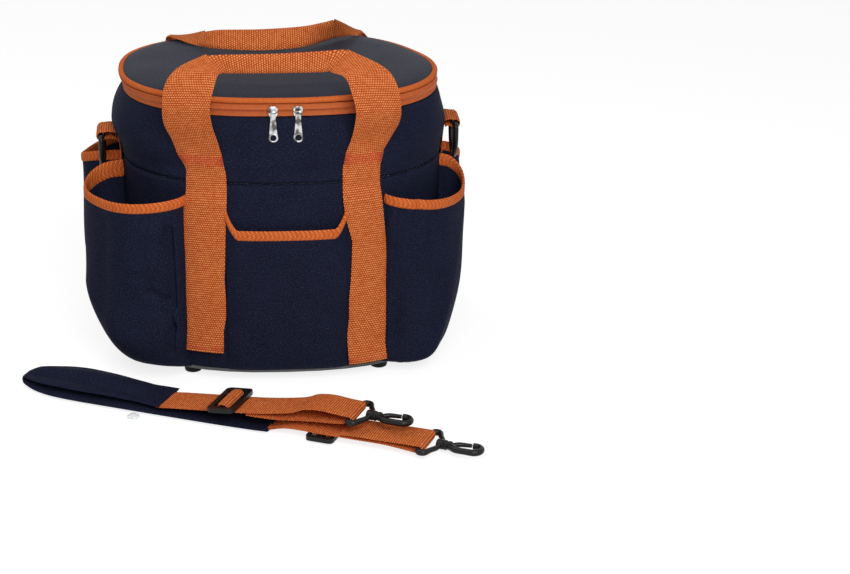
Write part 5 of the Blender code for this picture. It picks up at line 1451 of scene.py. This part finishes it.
# Adjusters: flat three-bar slides, one on the upper webbing and one under the lower, each with
# the webbing folded over its middle bar.
ADJUSTER = 0.0042
ADJUSTER_BAR = 0.0048
ADJUSTER_SLOT = 0.0062
ADJUSTER_SIZE = (3 * ADJUSTER_BAR + 2 * ADJUSTER_SLOT, 0.051)
SLOT_LENGTH = 0.040
ON_WEBBING = 0.0011
ADJUSTERS = (("upper", (0.221, UPPER_SHIFT, upper_level(0.221)), math.atan2(RAMP_RISE, RAMP_RUN), 1),
             ("lower", (0.317, LOWER_SHIFT, LOWER_LEVEL), 0.0, -1))
strap_along = Vector((math.cos(STRAP_TURN), math.sin(STRAP_TURN), 0.0))
strap_across = Vector((-math.sin(STRAP_TURN), math.cos(STRAP_TURN), 0.0))
slot_middle = (ADJUSTER_BAR + ADJUSTER_SLOT) / 2
for word, adjuster_at, tilt, up in ADJUSTERS:
    uphill = (strap_along * math.cos(tilt) + Vector((0.0, 0.0, math.sin(tilt)))).normalized()
    face_normal = uphill.cross(strap_across)
    centre = Vector(on_floor(adjuster_at)) + face_normal * up * (ON_WEBBING + ADJUSTER / 2)
    loops = [rounded_box(*ADJUSTER_SIZE, 0.0045)]
    loops += [rounded_box(ADJUSTER_SLOT, SLOT_LENGTH, 0.0012, sign * slot_middle) for sign in (-1, 1)]
    fit(cut_plate(f"adjuster_{word}_plate", loops, ADJUSTER, 0.0010, plastic, (uphill, strap_across), centre),
        f"adjuster_{word}", "black_plastic", f"adjuster_{word}")
    over = ON_WEBBING + ADJUSTER + 0.0010
    fold_route = [(-slot_middle, 0.0008), (-slot_middle, ADJUSTER * 0.8),
                  (-slot_middle * 0.62, over - 0.0001), (0.0, over + 0.0003),
                  (slot_middle * 0.62, over - 0.0001), (slot_middle, ADJUSTER * 0.8), (slot_middle, 0.0008)]
    rows = spline([(run, 0.0, rise * up) for run, rise in fold_route], RIB / 4)
    across = np.linspace(-WEB_WIDTH / 2, WEB_WIDTH / 2, 11)
    start = np.array(on_floor(adjuster_at))
    middle = (start + rows[:, None, :1] * np.array(uphill) + across[None, :, None] * np.array(strap_across)
              + rows[:, None, 2:3] * np.array(face_normal))
    fit(band(f"adjuster_{word}_fold_webbing", middle, webbing), f"adjuster_{word}", "orange_webbing",
        f"adjuster_{word}_fold")


# Snap hooks: a loop for the webbing, with a boss where the hook turns, and a sprung gate.
LOOP_SPREAD = 0.0223
ROD_GROWTH = 0.0003
ROD_STEP = 0.0009
ROD_SIDES = 14
BOSS_SIDES = 28
# Distance along, distance across, and the rod's radius.
LOOP_ROUTE = ((0.0, 0.0, 0.0022), (0.0, 0.016, 0.0022), (0.0006, 0.0208, 0.0027),
              (0.0032, LOOP_SPREAD, 0.0029), (0.0068, 0.0216, 0.0026), (0.0100, 0.0150, 0.0022),
              (0.0136, 0.0085, 0.0022), (0.0142, 0.0, 0.0024))
# Radius, and distance along.
BOSS = ((0.0, 0.0112), (0.0040, 0.0112), (0.0046, 0.0118), (0.0046, 0.0174), (0.0041, 0.0180), (0.0, 0.0180))
COLLAR = ((0.0, 0.0182), (0.0042, 0.0182), (0.0046, 0.0187), (0.0046, 0.0205), (0.0039, 0.0210),
          (0.0039, 0.0222), (0.0043, 0.0227), (0.0041, 0.0252), (0.0030, 0.0262), (0.0, 0.0264))
HOOK_ROUTE = ((0.0230, -0.0005, 0.0032), (0.0262, -0.0030, 0.0031), (0.0300, -0.0060, 0.0028),
              (0.0345, -0.0068, 0.0027), (0.0400, -0.0068, 0.0027), (0.0460, -0.0068, 0.0028))
HOOK_EYE = (0.0460, 0.0068)
HOOK_NOSE = (0.0436, 0.0068, 0.0027)
BEND_RADIUS = 0.0028
GATE_ROUTE = ((0.0262, 0.0020, 0.0018), (0.0285, 0.0038, 0.0020), (0.0315, 0.0053, 0.0020),
              (0.0365, 0.0062, 0.0018), (0.0422, 0.0068, 0.0016))
FAR_SIDE = [(a, -c, r) for a, c, r in reversed(LOOP_ROUTE[1:-1])]
HOOK_BEND = [(*point, BEND_RADIUS) for point in arc((HOOK_EYE[0], 0.0), HOOK_EYE[1], -70, 90, 9)]


def rod(name, place, route, closed=False):
    """A round rod of plastic through a route about a hook's place."""
    rows = spline([(a, c, 0.0, r + ROD_GROWTH) for a, c, r in route], ROD_STEP, closed=closed)
    points = on_floor(place + tube_points(rows[:, :3], rows[:, 3], ROD_SIDES, closed=closed))
    return closed_tube(name, points, plastic) if closed else merged(skin(name, points, plastic, closed=True))


def boss(name, place, profile_points):
    """A turned piece about a hook's long axis."""
    points = on_floor(place + turned(profile_points, BOSS_SIDES)[..., [2, 0, 1]])
    return merged(skin(name, points, plastic, closed=True, smooth_angle=35.0))


for word, (bar_along, bar_height), shift in (("upper", UPPER_BAR, 0.0), ("lower", LOWER_BAR, LOWER_SHIFT)):
    place = np.array((bar_along, shift, bar_height))
    loop_rod = rod(f"hook_loop_{word}_rod", place, [*LOOP_ROUTE, *FAR_SIDE], closed=True)
    fit(loop_rod, f"hook_loop_{word}", "black_plastic", f"hook_loop_{word}")
    fit(boss(f"hook_loop_{word}_boss", place, BOSS), f"hook_loop_{word}", "black_plastic")
    hook_rod = rod(f"hook_{word}_rod", place, [*HOOK_ROUTE, *HOOK_BEND, HOOK_NOSE])
    fit(hook_rod, f"hook_{word}", "black_plastic", f"hook_{word}")
    fit(boss(f"hook_{word}_collar", place, COLLAR), f"hook_{word}", "black_plastic")
    gate_rod = rod(f"hook_gate_{word}_rod", place, GATE_ROUTE)
    fit(gate_rod, f"hook_gate_{word}", "black_plastic", f"hook_gate_{word}")
